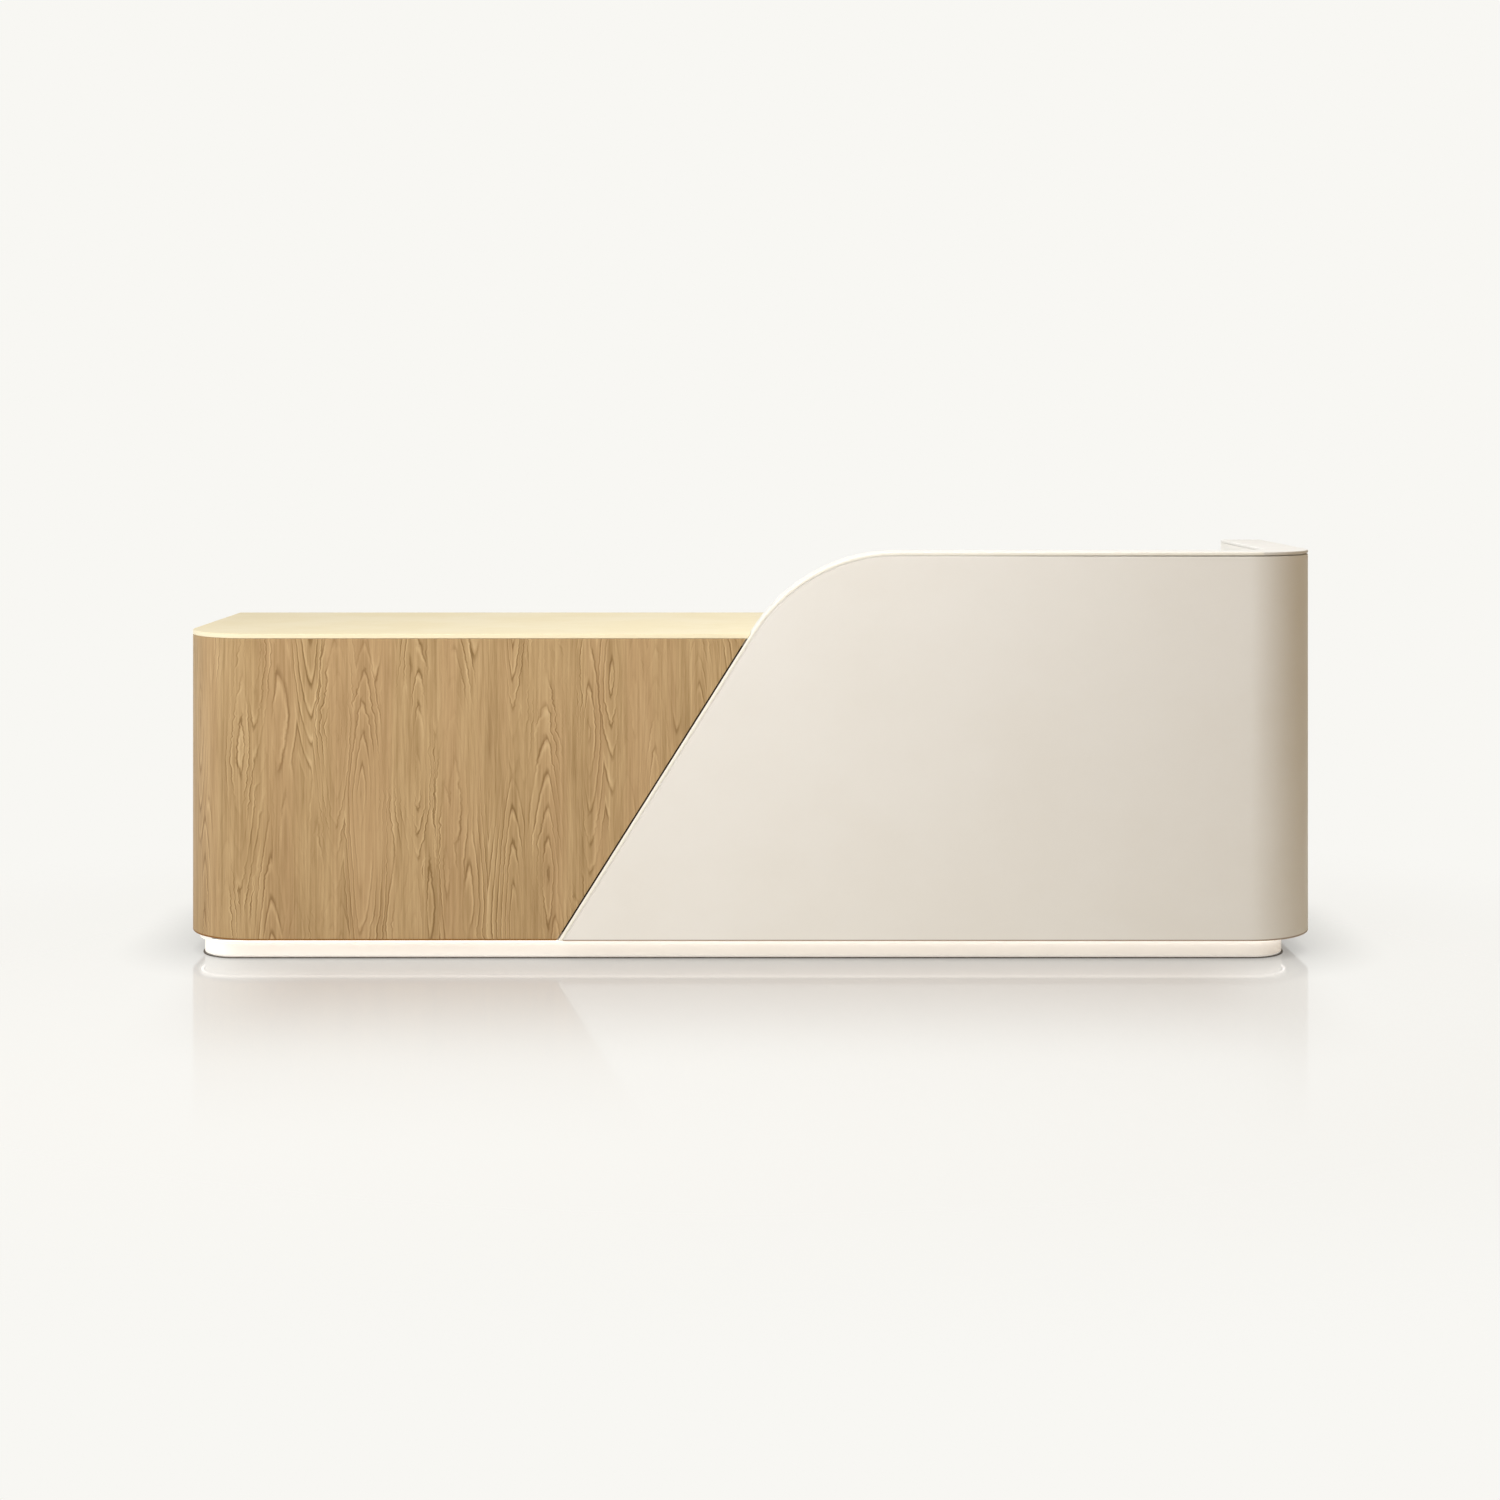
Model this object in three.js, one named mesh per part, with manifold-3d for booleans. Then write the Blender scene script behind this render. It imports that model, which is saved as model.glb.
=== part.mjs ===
// A reception desk for a visitor on one side and a receptionist on the other.
// On the left stands a low oak counter with a pale slab on top. On the right a tall cream screen wall
// runs round the end of the desk, and its front sweeps down in a slope across the oak.
// The whole body floats on a recessed plinth that a light strip under the overhang washes with light.
// The receptionist's side has a cupboard, three drawers and a worktop with a knee space.
//
// Millimetres, +Z up, visitors at -Y, the receptionist at +Y.
// The origin is on the floor under the middle of the desk.

import * as THREE from "three";
import { mergeVertices } from "three/addons/utils/BufferGeometryUtils.js";
import Module from "manifold-3d";

const wasm = await Module();
wasm.setup();

// Overall sizes
const DESK_LENGTH = 2800;
const DESK_DEPTH = 700;
const SCREEN_HEIGHT = 1000; // top of the tall screen wall
const COUNTER_HEIGHT = 800; // top of the low counter's slab
const WORKTOP_HEIGHT = 750; // top of the receptionist's worktop
const PLINTH_HEIGHT = 50; // underside of the body above the floor
const CORNER_RADIUS = 180; // both front corners of the body, in plan

// The sweep: a straight slope up from the plinth, then an arc into the level top
const OAK_FOOT_WIDTH = 931; // left end of the desk to the foot of the slope
const SWEEP_ANGLE = THREE.MathUtils.degToRad(57.85); // slope above the horizontal
const SWEEP_RADIUS = 420;
const CAP_THICKNESS = 8; // capping strip along the sweep and round the top of the wall
const CAP_GROOVE = 3; // shadow line between the capping and the screen's face
const SHADOW_GAP = 4; // dark joint between the oak and the capping

// Boards
const OAK_SKIN = 12;
const OAK_SETBACK = 10; // the oak's face lies this far behind the screen's face
const SLAB = 12;
const BOARD = 18; // carcass boards, doors and drawer fronts
const SCREEN_SKIN = OAK_SKIN + OAK_SETBACK; // both skins are fixed to the same front board
const WALL_CAVITY = 68; // between the screen's skin and its lining
const LINING = 18;
const STUD_WIDTH = 45;
const FRONT_STUD_SHARES = [1 / 3, 1]; // along the wall's straight, level run
const WORKTOP = 25;
const BATTEN_WIDTH = 20;
const BATTEN_HEIGHT = 40;
const BATTEN_SETBACK = 60; // from the end of what the batten carries

// Plinth
const PLINTH_RECESS = 45; // behind the body's front
const PLINTH_INSET_LEFT = 41;
const PLINTH_INSET_RIGHT = 75;
const PLINTH_RECESS_BACK = 45;
const PLINTH_RADIUS = 90; // its two front corners, in plan
const PLINTH_BOARD = 18;
const TOE_REBATE = 8; // shadow line where the plinth meets the floor
const TOE_REBATE_HEIGHT = 4;

// Light strip under the overhang
const CHANNEL_WIDTH = 10;
const CHANNEL_HEIGHT = 8;
const CHANNEL_WALL = 1.8;
const CHANNEL_OFFSET = 2; // out from the plinth's face
const DIFFUSER_THICKNESS = 1.5;
const DRIVER = { length: 160, depth: 32, height: 46, fromDeck: 90, fromPartition: 240 };

// Cupboard and drawers on the receptionist's side
const COUNTER_RUN_IN = 56; // how far the low counter runs in behind the foot of the arc
const DRAWER_BAY = 420; // clear width
const FRONTS_SETBACK = 32; // doors and drawer fronts behind the desk's back edge
const FRONT_GAP = 3; // round doors and drawer fronts
const SHELF_HEIGHT = 400; // underside of the cupboard's shelf
const SHELF_HOUSING = 6; // depth of the grooves that carry the shelf
const SHELF_SETBACK = 20; // behind the doors
const PIVOT_RADIUS = 4;
const PIVOT_IN_BOARD = 12; // length of a pivot pin in the deck or the sub-top
const PIVOT_IN_DOOR = 15;
const DRAWER_NAMES = ["bottom", "middle", "top"];
const UPPER_FRONT_HEIGHT = 160; // the two upper drawer fronts; the bottom one takes the rest
const DRAWER_LENGTH = 480;
const DRAWER_WALL = 12;
const DRAWER_FLOOR = 8;
const DRAWER_UNDER = 20; // box above its front's lower edge
const DRAWER_OVER = 30; // box below its front's upper edge
const RUNNER_LENGTH = 450;
const RUNNER_HEIGHT = 45;
const RUNNER_WIDTH = 13; // between the carcass and the drawer
const RUNNER_STEEL = 2;
const RUNNER_RISE = 40; // middle of the runner above the drawer's floor
const RUNNER_PLAY = 0.4;

// Handles
const HANDLE_LENGTH = 160;
const HANDLE_REACH = 28;
const HANDLE_BAR = 8;
const HANDLE_WIDTH = 12;
const HANDLE_LEG = 10;
const DOOR_HANDLE_INSET = 40; // from the door's free edge
const DOOR_HANDLE_DROP = 130; // middle of the handle below the door's top

// Cable grommet in the worktop
const GROMMET = { bore: 27, sleeve: 30, flange: 35, flangeThickness: 3, sleeveLength: 30 };
const GROMMET_FROM_LINING = 75;
const GROMMET_FROM_RETURN = 400;

// Rocker switch for the light, in the screen's lining
const SWITCH = { width: 32, height: 52, bezel: 2.5, bodyDepth: 20, wall: 3, floor: 3 };
const ROCKER = { thickness: 9, dish: 1.5, tilt: THREE.MathUtils.degToRad(7), endPlay: 2, pivotDepth: 4 };
const SWITCH_ABOVE_WORKTOP = 70;
const SWITCH_FROM_RETURN = 260;

// Fits
const GLUE_LINE = 0.3; // between fixed pieces that meet face to face
const FIT = 0.3; // round a piece that sits in a cut
const ARC_STEPS = 20; // flats along each arc
const PIN_SIDES = 16;
const GROMMET_SIDES = 32;
const BEYOND = 50; // how far a cutting solid runs past what it cuts
const FAR_BEYOND = 2 * BEYOND; // for a solid that has to pass another cutting solid

// Directions of the corners' arcs, in plan
const TO_RIGHT = 2 * Math.PI;
const TO_BACK = Math.PI / 2;
const TO_LEFT = Math.PI;
const TO_FRONT = 1.5 * Math.PI;

// Planes worked out from the sizes above
const LEFT = -DESK_LENGTH / 2;
const RIGHT = DESK_LENGTH / 2;
const FRONT = -DESK_DEPTH / 2;
const BACK = DESK_DEPTH / 2;
const OAK_FACE = FRONT + OAK_SETBACK;
const SKIN_BACK = FRONT + SCREEN_SKIN; // inner face of both skins
const WALL_THICKNESS = SCREEN_SKIN + WALL_CAVITY + LINING;
const WALL_BACK = FRONT + WALL_THICKNESS;
const RETURN_INNER = RIGHT - WALL_THICKNESS;
const RETURN_END = BACK - BOARD;
const CAP_UNDERSIDE = SCREEN_HEIGHT - CAP_THICKNESS;
const DECK_TOP = PLINTH_HEIGHT + BOARD;
const SUB_TOP_TOP = COUNTER_HEIGHT - SLAB;
const SUB_TOP_UNDER = SUB_TOP_TOP - BOARD;
const FRONTS_FACE = BACK - FRONTS_SETBACK;
const FRONTS_INNER = FRONTS_FACE - BOARD;
const WORKTOP_UNDER = WORKTOP_HEIGHT - WORKTOP;

// The sweep's arc: its centre, and where the slope meets the floor of the body
const FOOT_X = LEFT + OAK_FOOT_WIDTH;
const ARC_CENTRE_Z = SCREEN_HEIGHT - SWEEP_RADIUS;
const ARC_START_Z = ARC_CENTRE_Z + SWEEP_RADIUS * Math.cos(SWEEP_ANGLE);
const ARC_START_X = FOOT_X + (ARC_START_Z - PLINTH_HEIGHT) / Math.tan(SWEEP_ANGLE);
const ARC_CENTRE_X = ARC_START_X + SWEEP_RADIUS * Math.sin(SWEEP_ANGLE);

// The low cabinet, from its left skin to the side that faces the knee space
const CABINET_RIGHT = ARC_START_X + COUNTER_RUN_IN;
const CABINET_LEFT = LEFT + OAK_SKIN;
const RIGHT_SIDE_INNER = CABINET_RIGHT - BOARD;
const PARTITION_RIGHT = RIGHT_SIDE_INNER - DRAWER_BAY;
const PARTITION_LEFT = PARTITION_RIGHT - BOARD;
const LEFT_SIDE_INNER = CABINET_LEFT + BOARD;
const CORNER_END_Y = OAK_FACE + CORNER_RADIUS; // where the left corner's arc ends
const FRONT_BOARD_BACK = SKIN_BACK + BOARD;

// Plinth lines
const PLINTH_LEFT = LEFT + PLINTH_INSET_LEFT;
const PLINTH_RIGHT = RIGHT - PLINTH_INSET_RIGHT;
const PLINTH_FRONT = FRONT + PLINTH_RECESS;
const PLINTH_BACK = BACK - PLINTH_RECESS_BACK;

// Finishes
const finish = (color, roughness, metalness = 0) =>
  new THREE.MeshStandardMaterial({ color, roughness, metalness });
const OAK = finish(0xb8986f, 0.55);
const CREAM_LACQUER = finish(0xe7e1d7, 0.4);
const PALE_SLAB = finish(0xf0e4c1, 0.35);
const WHITE_BOARD = finish(0xece7dd, 0.5);
const DARK_BOARD = finish(0x3a2c20, 0.8);
const STUD_WOOD = finish(0xcfae7e, 0.75);
const PLINTH_WHITE = finish(0xf7f0e5, 0.45);
const ALUMINIUM = finish(0xc9cacb, 0.35, 1);
const STEEL = finish(0xb4b6b8, 0.4, 1);
const OPAL = finish(0xfff3dd, 0.5);
const BLACK_PLASTIC = finish(0x26262a, 0.5);

// Solids

/** A geometry as a manifold-3d solid. */
function solid(geometry) {
  const bare = geometry.clone();
  bare.deleteAttribute("normal");
  bare.deleteAttribute("uv");
  const merged = mergeVertices(bare);
  return new wasm.Manifold(
    new wasm.Mesh({
      numProp: 3,
      vertProperties: merged.attributes.position.array,
      triVerts: new Uint32Array(merged.index.array),
    }),
  );
}

/** A manifold-3d solid as a geometry. */
function surface(made) {
  const mesh = made.getMesh();
  const geometry = new THREE.BufferGeometry();
  geometry.setAttribute("position", new THREE.BufferAttribute(new Float32Array(mesh.vertProperties), 3));
  geometry.setIndex(new THREE.BufferAttribute(new Uint32Array(mesh.triVerts), 1));
  geometry.computeVertexNormals();
  return geometry;
}

/** A plan outline, raised from z0 to z1. */
function raised(shape, z0, z1) {
  const options = { depth: z1 - z0, bevelEnabled: false, curveSegments: ARC_STEPS };
  return new THREE.ExtrudeGeometry(shape, options).translate(0, 0, z0);
}

/** An outline drawn in x and z, carried from y0 to y1. */
function carried(shape, y0, y1) {
  const options = { depth: y1 - y0, bevelEnabled: false, curveSegments: ARC_STEPS };
  return new THREE.ExtrudeGeometry(shape, options).rotateX(Math.PI / 2).translate(0, y1, 0);
}

/** A block between two corners, [x, y, z]. */
function block(low, high) {
  const size = high.map((v, i) => v - low[i]);
  const centre = high.map((v, i) => (v + low[i]) / 2);
  return new THREE.BoxGeometry(...size).translate(...centre);
}

/** An upright round bar from z0 to z1. */
function upright(x, y, radius, z0, z1, sides = PIN_SIDES) {
  const bar = new THREE.CylinderGeometry(radius, radius, z1 - z0, sides).rotateX(Math.PI / 2);
  return bar.translate(x, y, (z0 + z1) / 2);
}

/** A named mesh, added to a group. */
function piece(group, name, material, geometry) {
  const mesh = new THREE.Mesh(geometry, material);
  mesh.name = name;
  group.add(mesh);
  return mesh;
}

/** A flat board between two corners, drawn half a glue line short on every face. */
function board(group, name, material, low, high) {
  const size = high.map((v, i) => v - low[i] - GLUE_LINE);
  const mesh = piece(group, name, material, new THREE.BoxGeometry(...size));
  mesh.position.set(...high.map((v, i) => (v + low[i]) / 2));
  return mesh;
}

/** The same board as a solid in place, for cutting. */
function boardSolid(low, high) {
  const half = GLUE_LINE / 2;
  return solid(block(low.map((v) => v + half), high.map((v) => v - half)));
}

// Plan outlines

/** Draws the left leg, the left corner and the front of a plan line, from back to front. */
function drawLeft(path, left, front, back, radius) {
  path.moveTo(left, back);
  path.lineTo(left, front + radius);
  path.absarc(left + radius, front + radius, radius, TO_LEFT, TO_FRONT, false);
}

/** Draws the left corner and leg the other way, from front to back. */
function drawLeftReturn(path, left, front, back, radius) {
  path.lineTo(left + radius, front);
  path.absarc(left + radius, front + radius, radius, TO_FRONT, TO_LEFT, true);
  path.lineTo(left, back);
}

/** Draws the right corner and leg, from front to back. */
function drawRight(path, right, front, back, radius) {
  path.lineTo(right - radius, front);
  path.absarc(right - radius, front + radius, radius, TO_FRONT, TO_RIGHT, false);
  path.lineTo(right, back);
}

/** Draws the right leg and corner the other way, from back to front. */
function drawRightReturn(path, right, front, back, radius) {
  path.lineTo(right, back);
  path.lineTo(right, front + radius);
  path.absarc(right - radius, front + radius, radius, TO_RIGHT, TO_FRONT, true);
}

/** A strip round the left corner, between two depths behind the outer line, ending at x = end. */
function leftStrip(outer, inner, end, back) {
  const shape = new THREE.Shape();
  drawLeft(shape, LEFT + outer, OAK_FACE + outer, back, CORNER_RADIUS - outer);
  shape.lineTo(end, OAK_FACE + outer);
  shape.lineTo(end, OAK_FACE + inner);
  drawLeftReturn(shape, LEFT + inner, OAK_FACE + inner, back, CORNER_RADIUS - inner);
  return shape;
}

/** A strip round the right corner, between two depths behind the outer line, starting at x = start. */
function rightStrip(outer, inner, start, back) {
  const shape = new THREE.Shape();
  shape.moveTo(start, FRONT + outer);
  drawRight(shape, RIGHT - outer, FRONT + outer, back, CORNER_RADIUS - outer);
  drawRightReturn(shape, RIGHT - inner, FRONT + inner, back, CORNER_RADIUS - inner);
  shape.lineTo(start, FRONT + inner);
  return shape;
}

/** A strip round the plinth's three sides; distances are measured out from the plinth's face. */
function plinthStrip(outer, inner) {
  const shape = new THREE.Shape();
  drawLeft(shape, PLINTH_LEFT - outer, PLINTH_FRONT - outer, PLINTH_BACK, PLINTH_RADIUS + outer);
  drawRight(shape, PLINTH_RIGHT + outer, PLINTH_FRONT - outer, PLINTH_BACK, PLINTH_RADIUS + outer);
  drawRightReturn(shape, PLINTH_RIGHT + inner, PLINTH_FRONT - inner, PLINTH_BACK, PLINTH_RADIUS + inner);
  drawLeftReturn(shape, PLINTH_LEFT - inner, PLINTH_FRONT - inner, PLINTH_BACK, PLINTH_RADIUS + inner);
  return shape;
}

/** The low cabinet's plan with its round left corner, moved in behind the oak's face. */
function cabinetPlan(inset, front, right) {
  const shape = new THREE.Shape();
  drawLeft(shape, LEFT + inset, front, BACK, CORNER_RADIUS - inset);
  shape.lineTo(right, front);
  shape.lineTo(right, BACK);
  return shape;
}

/** What lies below and to the right of the sweep, in x and z; a positive inset moves the line inwards. */
function sweepRegion(inset, margin) {
  const radius = SWEEP_RADIUS - inset;
  const startX = ARC_CENTRE_X - radius * Math.sin(SWEEP_ANGLE);
  const startZ = ARC_CENTRE_Z + radius * Math.cos(SWEEP_ANGLE);
  const floor = -margin;
  const shape = new THREE.Shape();
  shape.moveTo(startX - (startZ - floor) / Math.tan(SWEEP_ANGLE), floor);
  shape.lineTo(startX, startZ);
  shape.absarc(ARC_CENTRE_X, ARC_CENTRE_Z, radius, Math.PI / 2 + SWEEP_ANGLE, Math.PI / 2, true);
  shape.lineTo(RIGHT + margin, SCREEN_HEIGHT - inset);
  shape.lineTo(RIGHT + margin, floor);
  return shape;
}

/** The sweep as a cutting solid, from y0 to y1. */
function sweepSolid(inset, y0, y1, margin = BEYOND) {
  return solid(carried(sweepRegion(inset, margin), y0, y1));
}

// Sub-assemblies

/** The plinth: a bent front board on three sides, closed behind and braced under the cabinet's right side. */
function makePlinth() {
  const group = new THREE.Group();
  const top = PLINTH_HEIGHT - GLUE_LINE;
  const skirt = solid(raised(plinthStrip(0, -PLINTH_BOARD), 0, top));
  const rebate = solid(raised(plinthStrip(BEYOND, -TOE_REBATE), -BEYOND, TOE_REBATE_HEIGHT));
  const ends = solid(block([LEFT, PLINTH_BACK - TOE_REBATE, -BEYOND], [RIGHT, BACK, TOE_REBATE_HEIGHT]));
  piece(group, "plinth_skirt", PLINTH_WHITE, surface(skirt.subtract(rebate).subtract(ends)));

  const skirtLeft = PLINTH_LEFT + PLINTH_BOARD + GLUE_LINE;
  const backFront = PLINTH_BACK - PLINTH_BOARD;
  const back = block([skirtLeft, backFront, 0], [CABINET_RIGHT, PLINTH_BACK, top]);
  piece(group, "plinth_back_board", PLINTH_WHITE, back);

  const midLeft = CABINET_RIGHT - PLINTH_BOARD;
  const midFront = PLINTH_FRONT + PLINTH_BOARD + GLUE_LINE;
  const mid = block([midLeft, midFront, 0], [CABINET_RIGHT, backFront - GLUE_LINE, top]);
  piece(group, "plinth_mid_board", PLINTH_WHITE, mid);
  return group;
}

/** The light: a channel with an opal diffuser under the overhang, and its driver in the cupboard. */
function makeLight() {
  const group = new THREE.Group();
  const top = PLINTH_HEIGHT - GLUE_LINE;
  const low = PLINTH_HEIGHT - CHANNEL_HEIGHT;
  const near = CHANNEL_OFFSET;
  const far = CHANNEL_OFFSET + CHANNEL_WIDTH;
  const bar = solid(raised(plinthStrip(far, near), low, top));
  const hollow = plinthStrip(far - CHANNEL_WALL, near + CHANNEL_WALL);
  const channel = bar.subtract(solid(raised(hollow, low - BEYOND, PLINTH_HEIGHT - CHANNEL_WALL)));
  const openEnds = solid(block([LEFT, PLINTH_BACK - GLUE_LINE, 0], [RIGHT, BACK, PLINTH_HEIGHT]));
  piece(group, "led_channel", ALUMINIUM, surface(channel.subtract(openEnds)));

  const lens = plinthStrip(far - CHANNEL_WALL - FIT, near + CHANNEL_WALL + FIT);
  piece(group, "led_diffuser", OPAL, raised(lens, low, low + DIFFUSER_THICKNESS));

  const driverRight = PARTITION_LEFT - DRIVER.fromPartition;
  const driverLow = DECK_TOP + DRIVER.fromDeck;
  board(group, "led_driver", BLACK_PLASTIC,
    [driverRight - DRIVER.length, FRONT_BOARD_BACK, driverLow],
    [driverRight, FRONT_BOARD_BACK + DRIVER.depth, driverLow + DRIVER.height]);
  return group;
}

/** Where each door's pivots stand. */
const DOOR_TURN_RADIUS = BOARD / 2;
const DOOR_AXIS_Y = FRONTS_INNER + DOOR_TURN_RADIUS;
const PARTITION_MIDDLE = (PARTITION_LEFT + PARTITION_RIGHT) / 2;
const LEFT_DOOR_EDGE = LEFT_SIDE_INNER + FRONT_GAP;
const RIGHT_DOOR_EDGE = PARTITION_MIDDLE - FRONT_GAP / 2;
const DOOR_WIDTH = (RIGHT_DOOR_EDGE - LEFT_DOOR_EDGE - FRONT_GAP) / 2;
const DOOR_AXES = {
  left: LEFT_DOOR_EDGE + DOOR_TURN_RADIUS,
  right: RIGHT_DOOR_EDGE - DOOR_TURN_RADIUS,
};
const FRONTS_LOW = DECK_TOP + FRONT_GAP;
const FRONTS_HIGH = SUB_TOP_UNDER - FRONT_GAP;

/** Bores for the four door pivots, cut from the deck or the sub-top. */
function withPivotBores(made, z0, z1) {
  let cut = made;
  for (const x of Object.values(DOOR_AXES)) {
    cut = cut.subtract(solid(upright(x, DOOR_AXIS_Y, PIVOT_RADIUS + FIT, z0, z1)));
  }
  return cut;
}

/** The low cabinet: deck, sides, partition, front board, shelf, sub-top, oak skin and pale slab. */
function makeCabinet() {
  const group = new THREE.Group();
  const half = GLUE_LINE / 2;

  const plan = cabinetPlan(OAK_SKIN + half, SKIN_BACK + half, CABINET_RIGHT - half);
  const deck = solid(raised(plan, PLINTH_HEIGHT, DECK_TOP - half));
  const deckBore = DECK_TOP - PIVOT_IN_BOARD - FIT;
  piece(group, "cabinet_deck", WHITE_BOARD, surface(withPivotBores(deck, deckBore, DECK_TOP + BEYOND)));
  const subTop = solid(raised(plan, SUB_TOP_UNDER + half, SUB_TOP_TOP - half));
  const subTopBore = SUB_TOP_UNDER + PIVOT_IN_BOARD + FIT;
  piece(group, "cabinet_sub_top", WHITE_BOARD,
    surface(withPivotBores(subTop, SUB_TOP_UNDER - BEYOND, subTopBore)));

  board(group, "cabinet_front_board", DARK_BOARD,
    [LEFT + CORNER_RADIUS, SKIN_BACK, DECK_TOP], [CABINET_RIGHT, FRONT_BOARD_BACK, SUB_TOP_UNDER]);
  board(group, "cabinet_right_side", WHITE_BOARD,
    [RIGHT_SIDE_INNER, FRONT_BOARD_BACK, DECK_TOP], [CABINET_RIGHT, BACK, SUB_TOP_UNDER]);

  // The shelf sits in grooves in the left side and the partition.
  const shelfLow = [LEFT_SIDE_INNER - SHELF_HOUSING, CORNER_END_Y, SHELF_HEIGHT];
  const shelfHigh = [PARTITION_LEFT + SHELF_HOUSING, FRONTS_INNER - SHELF_SETBACK, SHELF_HEIGHT + BOARD];
  board(group, "cupboard_shelf", WHITE_BOARD, shelfLow, shelfHigh);
  const groove = boardSolid(
    shelfLow.map((v) => v - GLUE_LINE),
    shelfHigh.map((v) => v + GLUE_LINE),
  );
  const leftSide = boardSolid(
    [CABINET_LEFT, CORNER_END_Y, DECK_TOP], [LEFT_SIDE_INNER, BACK, SUB_TOP_UNDER]);
  piece(group, "cabinet_left_side", WHITE_BOARD, surface(leftSide.subtract(groove)));
  const partition = boardSolid(
    [PARTITION_LEFT, FRONT_BOARD_BACK, DECK_TOP], [PARTITION_RIGHT, FRONTS_INNER - FRONT_GAP, SUB_TOP_UNDER]);
  piece(group, "cabinet_partition", WHITE_BOARD, surface(partition.subtract(groove)));

  const skin = solid(raised(leftStrip(0, OAK_SKIN, CABINET_RIGHT, BACK), PLINTH_HEIGHT, SUB_TOP_TOP - half));
  const clearOfSweep = sweepSolid(-SHADOW_GAP, FRONT - BEYOND, SKIN_BACK + BEYOND);
  piece(group, "oak_cladding", OAK, surface(skin.subtract(clearOfSweep)));

  const slab = solid(raised(cabinetPlan(0, OAK_FACE, CABINET_RIGHT), SUB_TOP_TOP + half, COUNTER_HEIGHT));
  const wallNotch = sweepSolid(-GLUE_LINE, FRONT - BEYOND, WALL_BACK + GLUE_LINE);
  piece(group, "counter_slab", PALE_SLAB, surface(slab.subtract(wallNotch)));
  return group;
}

/** A bow handle. Its back lies on y = 0, it reaches out along +Y and its bar runs along X. */
function handleGeometry() {
  const half = HANDLE_LENGTH / 2;
  const shape = new THREE.Shape();
  shape.moveTo(-half, 0);
  shape.lineTo(-half + HANDLE_LEG, 0);
  shape.lineTo(-half + HANDLE_LEG, HANDLE_REACH - HANDLE_BAR);
  shape.lineTo(half - HANDLE_LEG, HANDLE_REACH - HANDLE_BAR);
  shape.lineTo(half - HANDLE_LEG, 0);
  shape.lineTo(half, 0);
  shape.lineTo(half, HANDLE_REACH);
  shape.lineTo(-half, HANDLE_REACH);
  return raised(shape, -HANDLE_WIDTH / 2, HANDLE_WIDTH / 2);
}

/** One cupboard door, hung on an upper and a lower pivot pin at its outer edge. */
function makeDoor(side) {
  const group = new THREE.Group();
  const away = side === "left" ? 1 : -1; // the door runs this way from its pivots
  const height = FRONTS_HIGH - FRONTS_LOW;
  group.position.set(DOOR_AXES[side], DOOR_AXIS_Y, FRONTS_LOW);

  const reach = DOOR_WIDTH - DOOR_TURN_RADIUS;
  const shape = new THREE.Shape();
  shape.moveTo(0, -DOOR_TURN_RADIUS);
  shape.lineTo(reach, -DOOR_TURN_RADIUS);
  shape.lineTo(reach, DOOR_TURN_RADIUS);
  shape.lineTo(0, DOOR_TURN_RADIUS);
  shape.absarc(0, 0, DOOR_TURN_RADIUS, TO_BACK, TO_FRONT, false);
  const boreRadius = PIVOT_RADIUS + FIT;
  const boreDepth = PIVOT_IN_DOOR + FIT;
  const leaf = solid(raised(shape, 0, height))
    .subtract(solid(upright(0, 0, boreRadius, -BEYOND, boreDepth)))
    .subtract(solid(upright(0, 0, boreRadius, height - boreDepth, height + BEYOND)));
  const door = piece(group, `door_${side}`, OAK, surface(leaf));
  door.rotation.z = away > 0 ? 0 : Math.PI;

  const handle = piece(group, `door_${side}_handle`, ALUMINIUM, handleGeometry());
  handle.rotation.y = Math.PI / 2;
  handle.position.set(
    away * (reach - DOOR_HANDLE_INSET), DOOR_TURN_RADIUS + GLUE_LINE, height - DOOR_HANDLE_DROP);

  const pinLength = PIVOT_IN_BOARD + FRONT_GAP + PIVOT_IN_DOOR;
  const lower = piece(group, `door_${side}_pivot_lower`, STEEL, upright(0, 0, PIVOT_RADIUS, 0, pinLength));
  lower.position.z = -FRONT_GAP - PIVOT_IN_BOARD;
  const upper = piece(group, `door_${side}_pivot_upper`, STEEL, upright(0, 0, PIVOT_RADIUS, 0, pinLength));
  upper.position.z = height - PIVOT_IN_DOOR;
  return group;
}

/** A runner's section: an open channel with its web on the given side, carried along y. */
function runnerGeometry(webX, lipX, height) {
  const towards = Math.sign(lipX - webX);
  const shape = new THREE.Shape();
  const half = height / 2;
  shape.moveTo(webX, -half);
  shape.lineTo(lipX, -half);
  shape.lineTo(lipX, -half + RUNNER_STEEL);
  shape.lineTo(webX + towards * RUNNER_STEEL, -half + RUNNER_STEEL);
  shape.lineTo(webX + towards * RUNNER_STEEL, half - RUNNER_STEEL);
  shape.lineTo(lipX, half - RUNNER_STEEL);
  shape.lineTo(lipX, half);
  shape.lineTo(webX, half);
  return carried(shape, -RUNNER_LENGTH, 0);
}

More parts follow.
